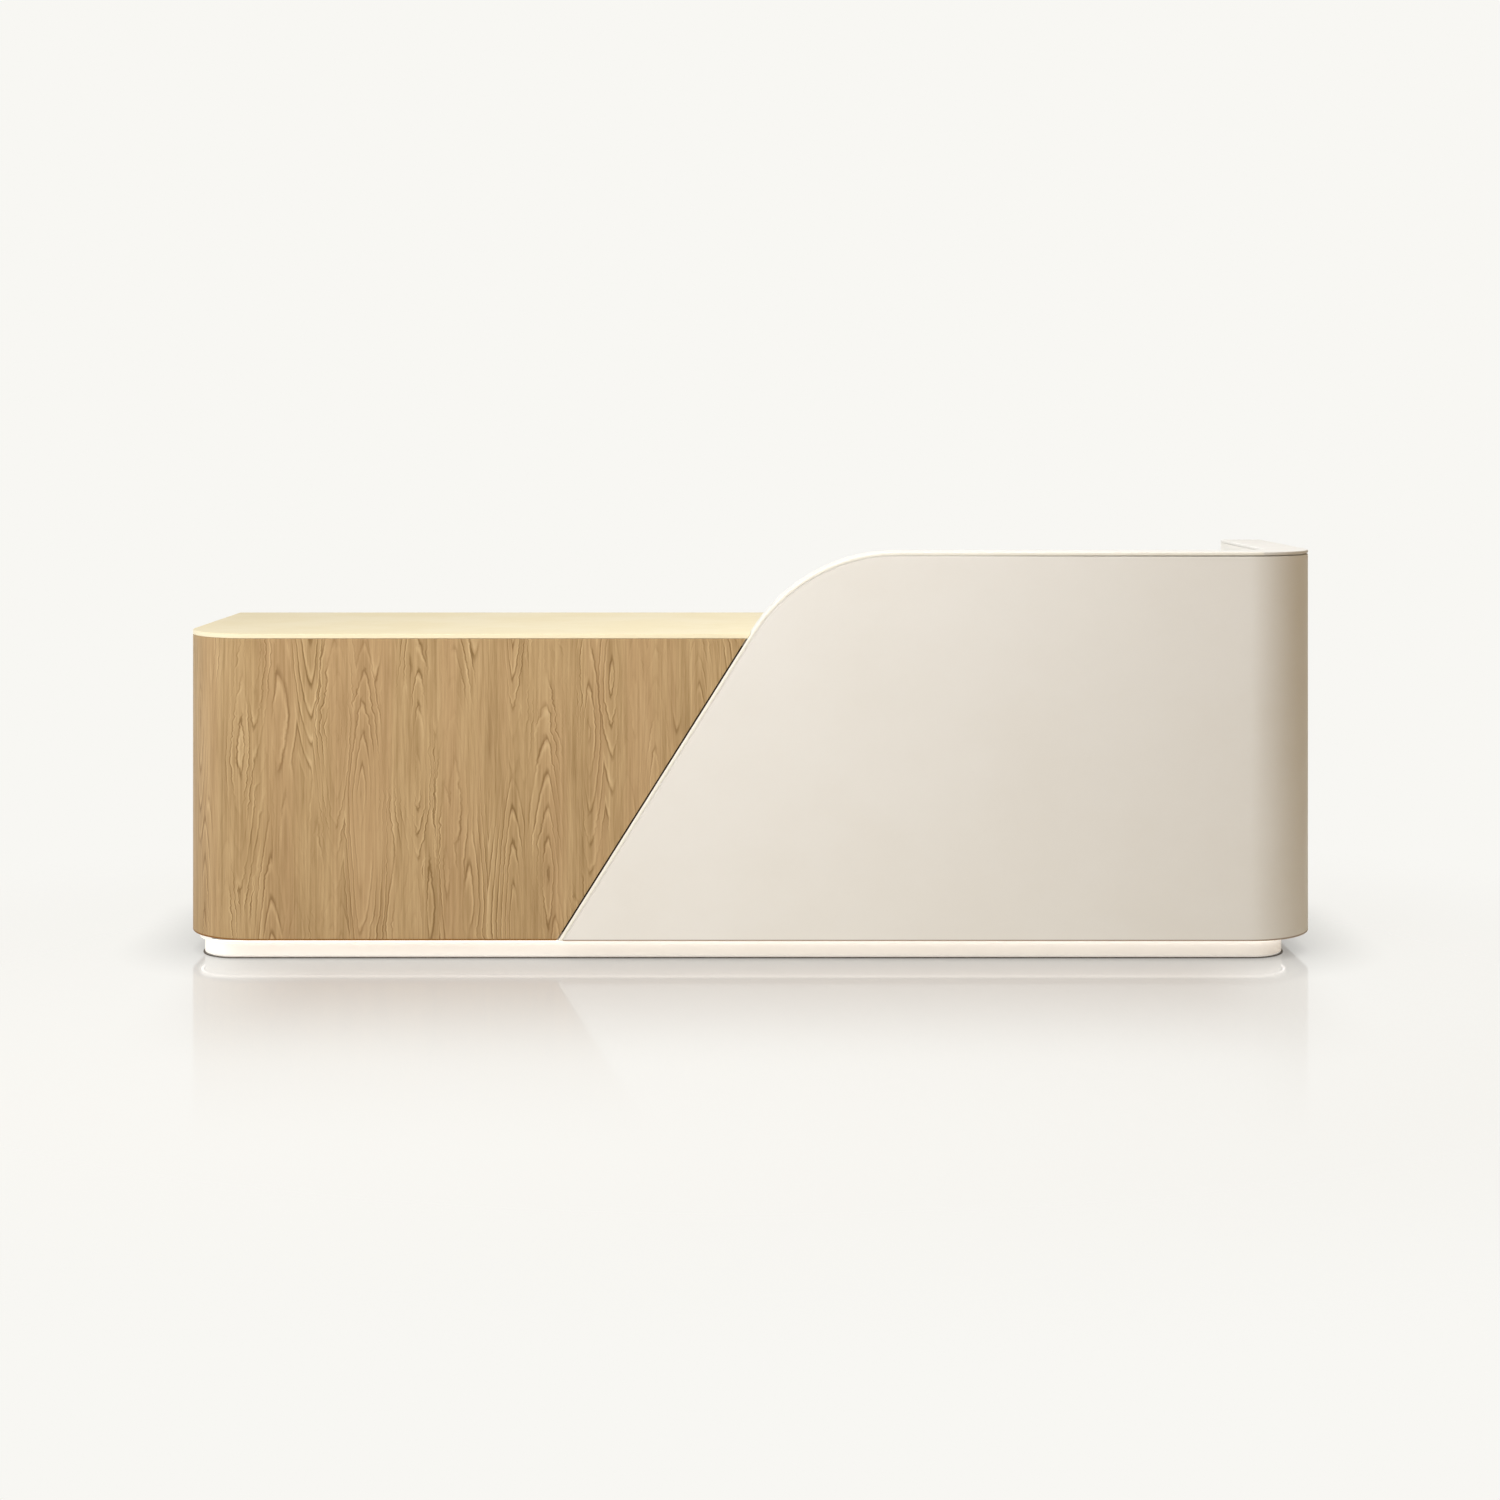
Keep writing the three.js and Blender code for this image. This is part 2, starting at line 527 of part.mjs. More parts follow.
/** One drawer: front, box, handle and two pairs of runners. The group stands at the front's low edge. */
function makeDrawer(name, low, frontHeight) {
  const group = new THREE.Group();
  group.position.set((PARTITION_RIGHT + RIGHT_SIDE_INNER) / 2, FRONTS_INNER, low);

  const bayHalf = DRAWER_BAY / 2;
  const frontLeft = PARTITION_MIDDLE + FRONT_GAP / 2 - group.position.x;
  const frontRight = bayHalf - FRONT_GAP;
  board(group, `drawer_${name}_front`, OAK, [frontLeft, 0, 0], [frontRight, BOARD, frontHeight]);

  const boxHalf = bayHalf - RUNNER_WIDTH;
  const boxTop = frontHeight - DRAWER_OVER;
  const tray = boardSolid([-boxHalf, -DRAWER_LENGTH, DRAWER_UNDER], [boxHalf, 0, boxTop]);
  const hollow = block(
    [-boxHalf + DRAWER_WALL, -DRAWER_LENGTH + DRAWER_WALL, DRAWER_UNDER + DRAWER_FLOOR],
    [boxHalf - DRAWER_WALL, -DRAWER_WALL, boxTop + BEYOND]);
  piece(group, `drawer_${name}_box`, WHITE_BOARD, surface(tray.subtract(solid(hollow))));

  const handle = piece(group, `drawer_${name}_handle`, ALUMINIUM, handleGeometry());
  handle.position.set((frontLeft + frontRight) / 2, BOARD, frontHeight / 2);

  const railZ = DRAWER_UNDER + RUNNER_RISE;
  const slideHeight = RUNNER_HEIGHT - 2 * (RUNNER_STEEL + RUNNER_PLAY);
  for (const [side, sign] of [["left", -1], ["right", 1]]) {
    const railWeb = sign * (bayHalf - GLUE_LINE);
    const railLip = sign * (bayHalf - RUNNER_WIDTH + RUNNER_STEEL + RUNNER_PLAY);
    const railShape = runnerGeometry(railWeb, railLip, RUNNER_HEIGHT);
    const rail = piece(group, `drawer_${name}_rail_${side}`, STEEL, railShape);
    rail.position.set(0, -GLUE_LINE, railZ);
    const slideWeb = sign * (boxHalf + GLUE_LINE / 2);
    const slideLip = sign * (bayHalf - RUNNER_STEEL - RUNNER_PLAY - GLUE_LINE);
    const slideShape = runnerGeometry(slideWeb, slideLip, slideHeight);
    const slide = piece(group, `drawer_${name}_slide_${side}`, STEEL, slideShape);
    slide.position.set(0, -GLUE_LINE, railZ);
  }
  return group;
}

/** The three drawers, from the deck up. */
function makeDrawers() {
  const group = new THREE.Group();
  const upperCount = DRAWER_NAMES.length - 1;
  const gaps = upperCount * FRONT_GAP;
  const bottomHeight = FRONTS_HIGH - FRONTS_LOW - gaps - upperCount * UPPER_FRONT_HEIGHT;
  let low = FRONTS_LOW;
  DRAWER_NAMES.forEach((name, index) => {
    const height = index === 0 ? bottomHeight : UPPER_FRONT_HEIGHT;
    group.add(makeDrawer(name, low, height));
    low += height + FRONT_GAP;
  });
  return group;
}

/** Where the light's switch sits in the lining: the middle of its bezel's back. */
const SWITCH_AT = {
  x: RETURN_INNER - SWITCH_FROM_RETURN,
  y: WALL_BACK,
  z: WORKTOP_HEIGHT + SWITCH_ABOVE_WORKTOP + SWITCH.height / 2,
};

/** The screen wall: sole plate, studs, outer skin, lining, end board and the capping along the sweep. */
function makeScreenWall() {
  const group = new THREE.Group();
  const half = GLUE_LINE / 2;

  const sole = rightStrip(SCREEN_SKIN + half, WALL_THICKNESS, CABINET_RIGHT + half, RETURN_END - half);
  piece(group, "wall_sole_plate", WHITE_BOARD, raised(sole, PLINTH_HEIGHT, DECK_TOP - half));

  const skinStrip = rightStrip(0, SCREEN_SKIN, FOOT_X, RETURN_END - half);
  const skin = solid(raised(skinStrip, PLINTH_HEIGHT, SCREEN_HEIGHT));
  const skinSweep = sweepSolid(CAP_THICKNESS + CAP_GROOVE, FRONT - BEYOND, BACK + BEYOND);
  piece(group, "screen_cladding", CREAM_LACQUER, surface(skin.intersect(skinSweep)));

  const liningStrip = rightStrip(WALL_THICKNESS - LINING, WALL_THICKNESS, FOOT_X, RETURN_END - half);
  const lining = solid(raised(liningStrip, DECK_TOP + half, SCREEN_HEIGHT))
    .intersect(sweepSolid(CAP_THICKNESS + GLUE_LINE, FRONT - BEYOND, BACK + BEYOND))
    .subtract(solid(block([LEFT, FRONT, 0], [CABINET_RIGHT + half, WALL_BACK + BEYOND, SUB_TOP_TOP + half])))
    .subtract(solid(switchBody(FIT)));
  piece(group, "screen_lining", CREAM_LACQUER, surface(lining));

  board(group, "return_end_cap", CREAM_LACQUER,
    [RETURN_INNER, RETURN_END, PLINTH_HEIGHT], [RIGHT, BACK, CAP_UNDERSIDE]);

  // Along the slope the capping is only as deep as the skin; above the counter it covers the whole wall.
  const strip = sweepSolid(0, FRONT, WALL_BACK).subtract(
    sweepSolid(CAP_THICKNESS, FRONT - BEYOND, WALL_BACK + BEYOND, FAR_BEYOND));
  const behindSkin = block([LEFT, SKIN_BACK, -FAR_BEYOND], [RIGHT, BACK, SUB_TOP_TOP + half]);
  const belowBody = block([LEFT, FRONT - BEYOND, -FAR_BEYOND], [RIGHT, BACK, PLINTH_HEIGHT]);
  const straightEnd = RIGHT - CORNER_RADIUS;
  const pastCorner = block(
    [straightEnd, FRONT - BEYOND, 0], [RIGHT + FAR_BEYOND, BACK, SCREEN_HEIGHT + BEYOND]);
  const sweepCap = strip.subtract(solid(behindSkin)).subtract(solid(belowBody)).subtract(solid(pastCorner));
  const cornerStrip = rightStrip(0, WALL_THICKNESS, straightEnd - BEYOND, BACK);
  const cornerCap = solid(raised(cornerStrip, CAP_UNDERSIDE, SCREEN_HEIGHT));
  piece(group, "sweep_capping", CREAM_LACQUER, surface(sweepCap.add(cornerCap)));

  // The front's studs share its straight length, and one more stands in the middle of the return.
  const frontRun = RIGHT - CORNER_RADIUS - ARC_CENTRE_X;
  FRONT_STUD_SHARES.forEach((share, index) => {
    const x = ARC_CENTRE_X + share * frontRun;
    board(group, `wall_stud_${index + 1}`, STUD_WOOD,
      [x - STUD_WIDTH, SKIN_BACK, DECK_TOP], [x, SKIN_BACK + WALL_CAVITY, CAP_UNDERSIDE]);
  });
  const returnMiddle = (FRONT + CORNER_RADIUS + RETURN_END) / 2;
  board(group, `wall_stud_${FRONT_STUD_SHARES.length + 1}`, STUD_WOOD,
    [RETURN_INNER + LINING, returnMiddle - STUD_WIDTH / 2, DECK_TOP],
    [RIGHT - SCREEN_SKIN, returnMiddle + STUD_WIDTH / 2, CAP_UNDERSIDE]);
  return group;
}

/** The part of the switch that passes through the lining, grown by a clearance. */
function switchBody(clearance) {
  const halfWidth = SWITCH.width / 2 - SWITCH.wall + clearance;
  const halfHeight = SWITCH.height / 2 - SWITCH.wall + clearance;
  return block(
    [SWITCH_AT.x - halfWidth, SWITCH_AT.y - SWITCH.bodyDepth - clearance, SWITCH_AT.z - halfHeight],
    [SWITCH_AT.x + halfWidth, SWITCH_AT.y + SWITCH.bezel, SWITCH_AT.z + halfHeight]);
}

/** The light's switch: a bezel and body let into the lining, and the rocker that tips inside it. */
function makeSwitch() {
  const group = new THREE.Group();
  const { x, y, z } = SWITCH_AT;
  const bezel = block(
    [x - SWITCH.width / 2, y + GLUE_LINE, z - SWITCH.height / 2],
    [x + SWITCH.width / 2, y + SWITCH.bezel, z + SWITCH.height / 2]);
  const pocketHalfWidth = SWITCH.width / 2 - 2 * SWITCH.wall;
  const pocketHalfHeight = SWITCH.height / 2 - 2 * SWITCH.wall;
  const pocket = block(
    [x - pocketHalfWidth, y - SWITCH.bodyDepth + SWITCH.floor, z - pocketHalfHeight],
    [x + pocketHalfWidth, y + BEYOND, z + pocketHalfHeight]);
  const housing = solid(bezel).add(solid(switchBody(0))).subtract(solid(pocket));
  piece(group, "switch_housing", BLACK_PLASTIC, surface(housing));

  // The rocker's section is drawn along its height, with a shallow dish in its face.
  const rockerHalf = pocketHalfHeight - ROCKER.endPlay;
  const shape = new THREE.Shape();
  shape.moveTo(-rockerHalf, -ROCKER.thickness / 2);
  shape.lineTo(rockerHalf, -ROCKER.thickness / 2);
  shape.lineTo(rockerHalf, ROCKER.thickness / 2);
  shape.lineTo(0, ROCKER.thickness / 2 - ROCKER.dish);
  shape.lineTo(-rockerHalf, ROCKER.thickness / 2);
  const rockerWidth = 2 * (pocketHalfWidth - FIT);
  const rocker = raised(shape, -rockerWidth / 2, rockerWidth / 2).rotateY(-Math.PI / 2);
  const mesh = piece(group, "switch_rocker", BLACK_PLASTIC, rocker);
  mesh.position.set(x, y - ROCKER.pivotDepth, z);
  mesh.rotation.x = -ROCKER.tilt;
  return group;
}

/** Where the cable grommet stands in the worktop. */
const GROMMET_AT = { x: RETURN_INNER - GROMMET_FROM_RETURN, y: WALL_BACK + GROMMET_FROM_LINING };

/** The receptionist's worktop on its battens, with a cable grommet let in flush. */
function makeWorktop() {
  const group = new THREE.Group();
  const half = GLUE_LINE / 2;
  const { x, y } = GROMMET_AT;

  const flangeLow = WORKTOP_HEIGHT - GROMMET.flangeThickness;
  const top = solid(block(
    [CABINET_RIGHT + half, WALL_BACK + GLUE_LINE, WORKTOP_UNDER + half],
    [RETURN_INNER - GLUE_LINE, FRONTS_FACE, WORKTOP_HEIGHT]));
  const innerRadius = CORNER_RADIUS - WALL_THICKNESS;
  const wallPlan = rightStrip(0, WALL_THICKNESS + GLUE_LINE, CABINET_RIGHT, BACK);
  const roundCorner = solid(raised(wallPlan, 0, SCREEN_HEIGHT));
  const sleeveBore = upright(x, y, GROMMET.sleeve + FIT, 0, SCREEN_HEIGHT, GROMMET_SIDES);
  const flangeBore = upright(x, y, GROMMET.flange + FIT, flangeLow - FIT, SCREEN_HEIGHT, GROMMET_SIDES);
  const cutTop = top.subtract(roundCorner).subtract(solid(sleeveBore)).subtract(solid(flangeBore));
  piece(group, "worktop", PALE_SLAB, surface(cutTop));

  const battenLow = WORKTOP_UNDER - BATTEN_HEIGHT;
  board(group, "worktop_ledger", STUD_WOOD,
    [CABINET_RIGHT + BATTEN_SETBACK, WALL_BACK, battenLow],
    [RETURN_INNER - innerRadius - BATTEN_SETBACK, WALL_BACK + BATTEN_WIDTH, WORKTOP_UNDER]);
  const cleatFront = WALL_BACK + innerRadius + BATTEN_SETBACK;
  const cleatBack = FRONTS_FACE - BATTEN_SETBACK;
  board(group, "worktop_cleat_left", STUD_WOOD,
    [CABINET_RIGHT, cleatFront, battenLow], [CABINET_RIGHT + BATTEN_WIDTH, cleatBack, WORKTOP_UNDER]);
  board(group, "worktop_cleat_right", STUD_WOOD,
    [RETURN_INNER - BATTEN_WIDTH, cleatFront, battenLow], [RETURN_INNER, cleatBack, WORKTOP_UNDER]);

  // The liner's section, from its bore out to its flange and back.
  const linerLow = -GROMMET.sleeveLength;
  const profile = [
    [GROMMET.bore, linerLow], [GROMMET.sleeve, linerLow], [GROMMET.sleeve, -GROMMET.flangeThickness],
    [GROMMET.flange, -GROMMET.flangeThickness], [GROMMET.flange, 0], [GROMMET.bore, 0],
    [GROMMET.bore, linerLow],
  ].map(([r, z]) => new THREE.Vector2(r, z));
  const liner = piece(group, "grommet_liner", BLACK_PLASTIC,
    new THREE.LatheGeometry(profile, GROMMET_SIDES).rotateX(Math.PI / 2));
  liner.position.set(x, y, WORKTOP_HEIGHT);
  return group;
}

const desk = new THREE.Group();
desk.name = "reception_desk";
desk.add(
  makePlinth(),
  makeLight(),
  makeCabinet(),
  makeDoor("left"),
  makeDoor("right"),
  makeDrawers(),
  makeScreenWall(),
  makeSwitch(),
  makeWorktop(),
);

export default desk;
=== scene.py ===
"""The looks of a reception desk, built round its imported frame.

A low oak counter with a pale slab stands on the left. A cream screen wall runs round the right end, and
its front sweeps down in a slope across the oak. The body floats on a lit, recessed plinth. The
receptionist's side has a cupboard, three drawers and a worktop.

Every sub-assembly is a class that holds its sizes, builds its meshes and dresses them. Lengths are in
metres, +Z is up, visitors stand at -Y and the receptionist sits at +Y.
"""

import logging
import math
from dataclasses import dataclass, field
from enum import Enum
from typing import Callable, Dict, Iterable, List, Optional, Sequence, Tuple, Union

import bmesh
import bpy
from mathutils import Matrix, Vector


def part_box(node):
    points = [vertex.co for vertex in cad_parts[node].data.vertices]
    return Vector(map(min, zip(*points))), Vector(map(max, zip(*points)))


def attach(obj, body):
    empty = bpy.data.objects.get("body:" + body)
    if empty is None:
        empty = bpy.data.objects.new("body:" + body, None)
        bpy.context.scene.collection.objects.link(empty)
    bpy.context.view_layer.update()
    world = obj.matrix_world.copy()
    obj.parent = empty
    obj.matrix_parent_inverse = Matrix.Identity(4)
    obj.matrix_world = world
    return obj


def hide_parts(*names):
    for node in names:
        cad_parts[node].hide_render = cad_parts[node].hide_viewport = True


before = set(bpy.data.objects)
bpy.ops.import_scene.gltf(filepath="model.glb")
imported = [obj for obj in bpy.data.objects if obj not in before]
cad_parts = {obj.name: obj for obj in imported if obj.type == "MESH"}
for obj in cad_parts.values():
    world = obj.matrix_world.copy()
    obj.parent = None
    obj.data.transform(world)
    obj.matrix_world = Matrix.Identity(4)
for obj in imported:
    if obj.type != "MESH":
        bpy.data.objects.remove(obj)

LOG = logging.getLogger("reception_desk")

Colour = Tuple[float, float, float, float]
Socket = bpy.types.NodeSocket
Feed = Union[float, int, Sequence[float], Socket]
Stops = Sequence[Tuple[float, Colour]]

MM = 0.001
MERGE = 1e-5  # points of a copied mesh that are closer than this are one point
FLAT = math.radians(0.4)  # faces that meet at less than this are one face
CREASE = math.radians(28)  # edges that turn by more than this are softened
PLACE = "flat_place"  # where a point of a veneer lies when the sheet is laid flat
EDGE = "edge"  # 1 on the softened edges of a piece
FRONT_HIGHLIGHT = (-347.5 * MM, -345.5 * MM)  # how far back the painted highlight on the foremost edge reaches, and where it is gone
FOOT_SHADE = (53.5 * MM, 55.0 * MM)  # how high the painted shade along the claddings' lower edge reaches, and where it is gone


class Slot(Enum):
    """The record's material slots."""

    OAK = "oak_veneer"
    LACQUER = "cream_lacquer"
    SLAB = "pale_slab"
    LAMINATE = "worktop_laminate"
    BOARD = "white_board"
    DARK = "dark_board"
    TIMBER = "stud_wood"
    PLINTH = "plinth_white"
    ALUMINIUM = "aluminium"
    STEEL = "runner_steel"
    OPAL = "opal_diffuser"
    PLASTIC = "black_plastic"


class Body(Enum):
    """The bodies that the desk's joints move."""

    CARCASS = "carcass"
    DOOR_LEFT = "door_left_leaf"
    DOOR_RIGHT = "door_right_leaf"
    DRAWER_BOTTOM = "drawer_bottom"
    DRAWER_MIDDLE = "drawer_middle"
    DRAWER_TOP = "drawer_top"
    ROCKER = "rocker"


class Axis(Enum):
    """A direction along the desk."""

    X = (1.0, 0.0, 0.0)
    Y = (0.0, 1.0, 0.0)
    Z = (0.0, 0.0, 1.0)
    MINUS_X = (-1.0, 0.0, 0.0)
    MINUS_Y = (0.0, -1.0, 0.0)


def paint(red: int, green: int, blue: int) -> Colour:
    """Turn a screen colour into the linear colour a shader takes.

    Args:
        red: Red as seen on a screen, 0 to 255.
        green: Green, likewise.
        blue: Blue, likewise.

    Returns:
        The linear colour with full opacity.
    """

    def linear(part: int) -> float:
        """One channel, made linear."""
        share = part / 255
        return share / 12.92 if share <= 0.04045 else ((share + 0.055) / 1.055) ** 2.4

    return linear(red), linear(green), linear(blue), 1.0


class Graph:
    """A node tree with short calls to add and wire its nodes."""

    def __init__(self, tree: bpy.types.NodeTree) -> None:
        """Keep the tree that the calls work on."""
        self.tree = tree

    def feed(self, socket: Socket, value: Feed) -> None:
        """Wire a socket to another one, or set its value."""
        if isinstance(value, bpy.types.NodeSocket):
            self.tree.links.new(value, socket)
        else:
            socket.default_value = value

    def add(self, kind: str, inputs: Optional[Dict[Union[str, int], Feed]] = None, **settings: object) -> bpy.types.Node:
        """Add a node.

        Args:
            kind: Blender's name for the node's type.
            inputs: What goes into its sockets, by name or place.
            **settings: The node's own settings.

        Returns:
            The new node.
        """
        node = self.tree.nodes.new(kind)
        for key, value in settings.items():
            setattr(node, key, value)
        for key, value in (inputs or {}).items():
            self.feed(node.inputs[key], value)
        return node

    def math(self, operation: str, *values: Feed, clamp: bool = False) -> Socket:
        """Work out a number.

        Args:
            operation: Blender's name for the sum.
            *values: What goes into it.
            clamp: Whether the result stays between 0 and 1.

        Returns:
            The socket with the result.
        """
        node = self.add("ShaderNodeMath", operation=operation, use_clamp=clamp)
        for socket, value in zip(node.inputs, values):
            self.feed(socket, value)
        return node.outputs[0]


class Coat(Graph):
    """One material's nodes, with the patterns that the finishes share."""

    def __init__(self, name: str, roughness: float, **sockets: Feed) -> None:
        """Start a material with one shader.

        Args:
            name: The material's name.
            roughness: The shader's roughness where no pattern changes it.
            **sockets: Other fixed values of the shader, with _ for a space in the socket's name.
        """
        self.material = bpy.data.materials.new(name)
        self.material.use_nodes = True
        super().__init__(self.material.node_tree)
        self.tree.nodes.clear()
        self.output = self.add("ShaderNodeOutputMaterial")
        self.shader = self.add("ShaderNodeBsdfPrincipled", {"Roughness": roughness})
        for key, value in sockets.items():
            self.feed(self.shader.inputs[key.replace("_", " ")], value)
        self.feed(self.output.inputs["Surface"], self.shader.outputs[0])

    def place(self) -> Socket:
        """Where the shaded point lies on the object."""
        return self.add("ShaderNodeTexCoord").outputs["Object"]

    def attribute(self, name: str, output: str) -> Socket:
        """A value that the mesh carries."""
        return self.add("ShaderNodeAttribute", attribute_name=name).outputs[output]

    def stretched(self, place: Socket, scale: Sequence[float]) -> Socket:
        """A place, scaled apart along each axis."""
        node = self.add("ShaderNodeVectorMath", {0: place, 1: scale}, operation="MULTIPLY")
        return node.outputs[0]

    def along(self, place: Socket, axis: int) -> Socket:
        """One coordinate of a place."""
        return self.add("ShaderNodeSeparateXYZ", {0: place}).outputs[axis]

    def noise(self, place: Socket, scale: Sequence[float], detail: float = 2.0, roughness: float = 0.5) -> Socket:
        """Cloudy noise.

        Args:
            place: Where it is read.
            scale: Clouds per metre along each axis.
            detail: How many finer layers it has.
            roughness: How strong the finer layers are.

        Returns:
            The socket with the noise, about 0.5 on average.
        """
        inputs = {"Vector": self.stretched(place, scale), "Scale": 1.0, "Detail": detail, "Roughness": roughness}
        return self.add("ShaderNodeTexNoise", inputs).outputs[0]

    def band(self, value: Socket, low: float, high: float, start: float = 0.0, end: float = 1.0) -> Socket:
        """Map a range of values smoothly to another one.

        Args:
            value: What is mapped.
            low: The value that becomes start.
            high: The value that becomes end.
            start: The result at low and below.
            end: The result at high and above.

        Returns:
            The socket with the mapped value.
        """
        inputs = {"Value": value, "From Min": low, "From Max": high, "To Min": start, "To Max": end}
        return self.add("ShaderNodeMapRange", inputs, interpolation_type="SMOOTHSTEP").outputs[0]

    def ramp(self, value: Socket, stops: Stops) -> Socket:
        """Turn a value into a colour.

        Args:
            value: The value, 0 to 1.
            stops: Places on the ramp and their colours, in order.

        Returns:
            The socket with the colour.
        """
        node = self.add("ShaderNodeValToRGB", {0: value})
        elements = node.color_ramp.elements
        while len(elements) < len(stops):
            elements.new(1.0)
        for element, (at, colour) in zip(elements, stops):
            element.position, element.color = at, colour
        return node.outputs[0]

    def mixed(self, share: Feed, first: Feed, second: Feed, mode: str = "MIX") -> Socket:
        """Mix two colours.

        Args:
            share: How much of the second one shows.
            first: The colour underneath.
            second: The colour on top.
            mode: How the second one is laid on.

        Returns:
            The socket with the mixed colour.
        """
        node = self.add("ShaderNodeMix", {0: share, 6: first, 7: second}, data_type="RGBA", blend_type=mode)
        return node.outputs[2]

    def mixed_value(self, share: Feed, first: Feed, second: Feed) -> Socket:
        """Mix two numbers, as mixed does two colours."""
        return self.add("ShaderNodeMix", {0: share, 2: first, 3: second}, data_type="FLOAT").outputs[0]

    def relief(self, height: Socket, depth: float, strength: float = 1.0, under: Optional[Socket] = None) -> Socket:
        """Roughen the surface.

        Args:
            height: The relief's height, 0 to 1.
            depth: How deep it is, in metres.
            strength: How much of it shows.
            under: Another relief that this one lies on.

        Returns:
            The socket with the changed normal.
        """
        node = self.add("ShaderNodeBump", {"Height": height, "Distance": depth, "Strength": strength})
        if under is not None:
            self.feed(node.inputs["Normal"], under)
        return node.outputs[0]

    def finish(self, colour: Socket, roughness: Optional[Socket], normal: Optional[Socket]) -> bpy.types.Material:
        """Wire the patterns to the shader.

        Args:
            colour: The base colour.
            roughness: The roughness, where a pattern changes it.
            normal: The relief, where there is one.

        Returns:
            The finished material.
        """
        self.feed(self.shader.inputs["Base Color"], colour)
        if roughness is not None:
            self.feed(self.shader.inputs["Roughness"], roughness)
        if normal is not None:
            self.feed(self.shader.inputs["Normal"], normal)
        return self.material


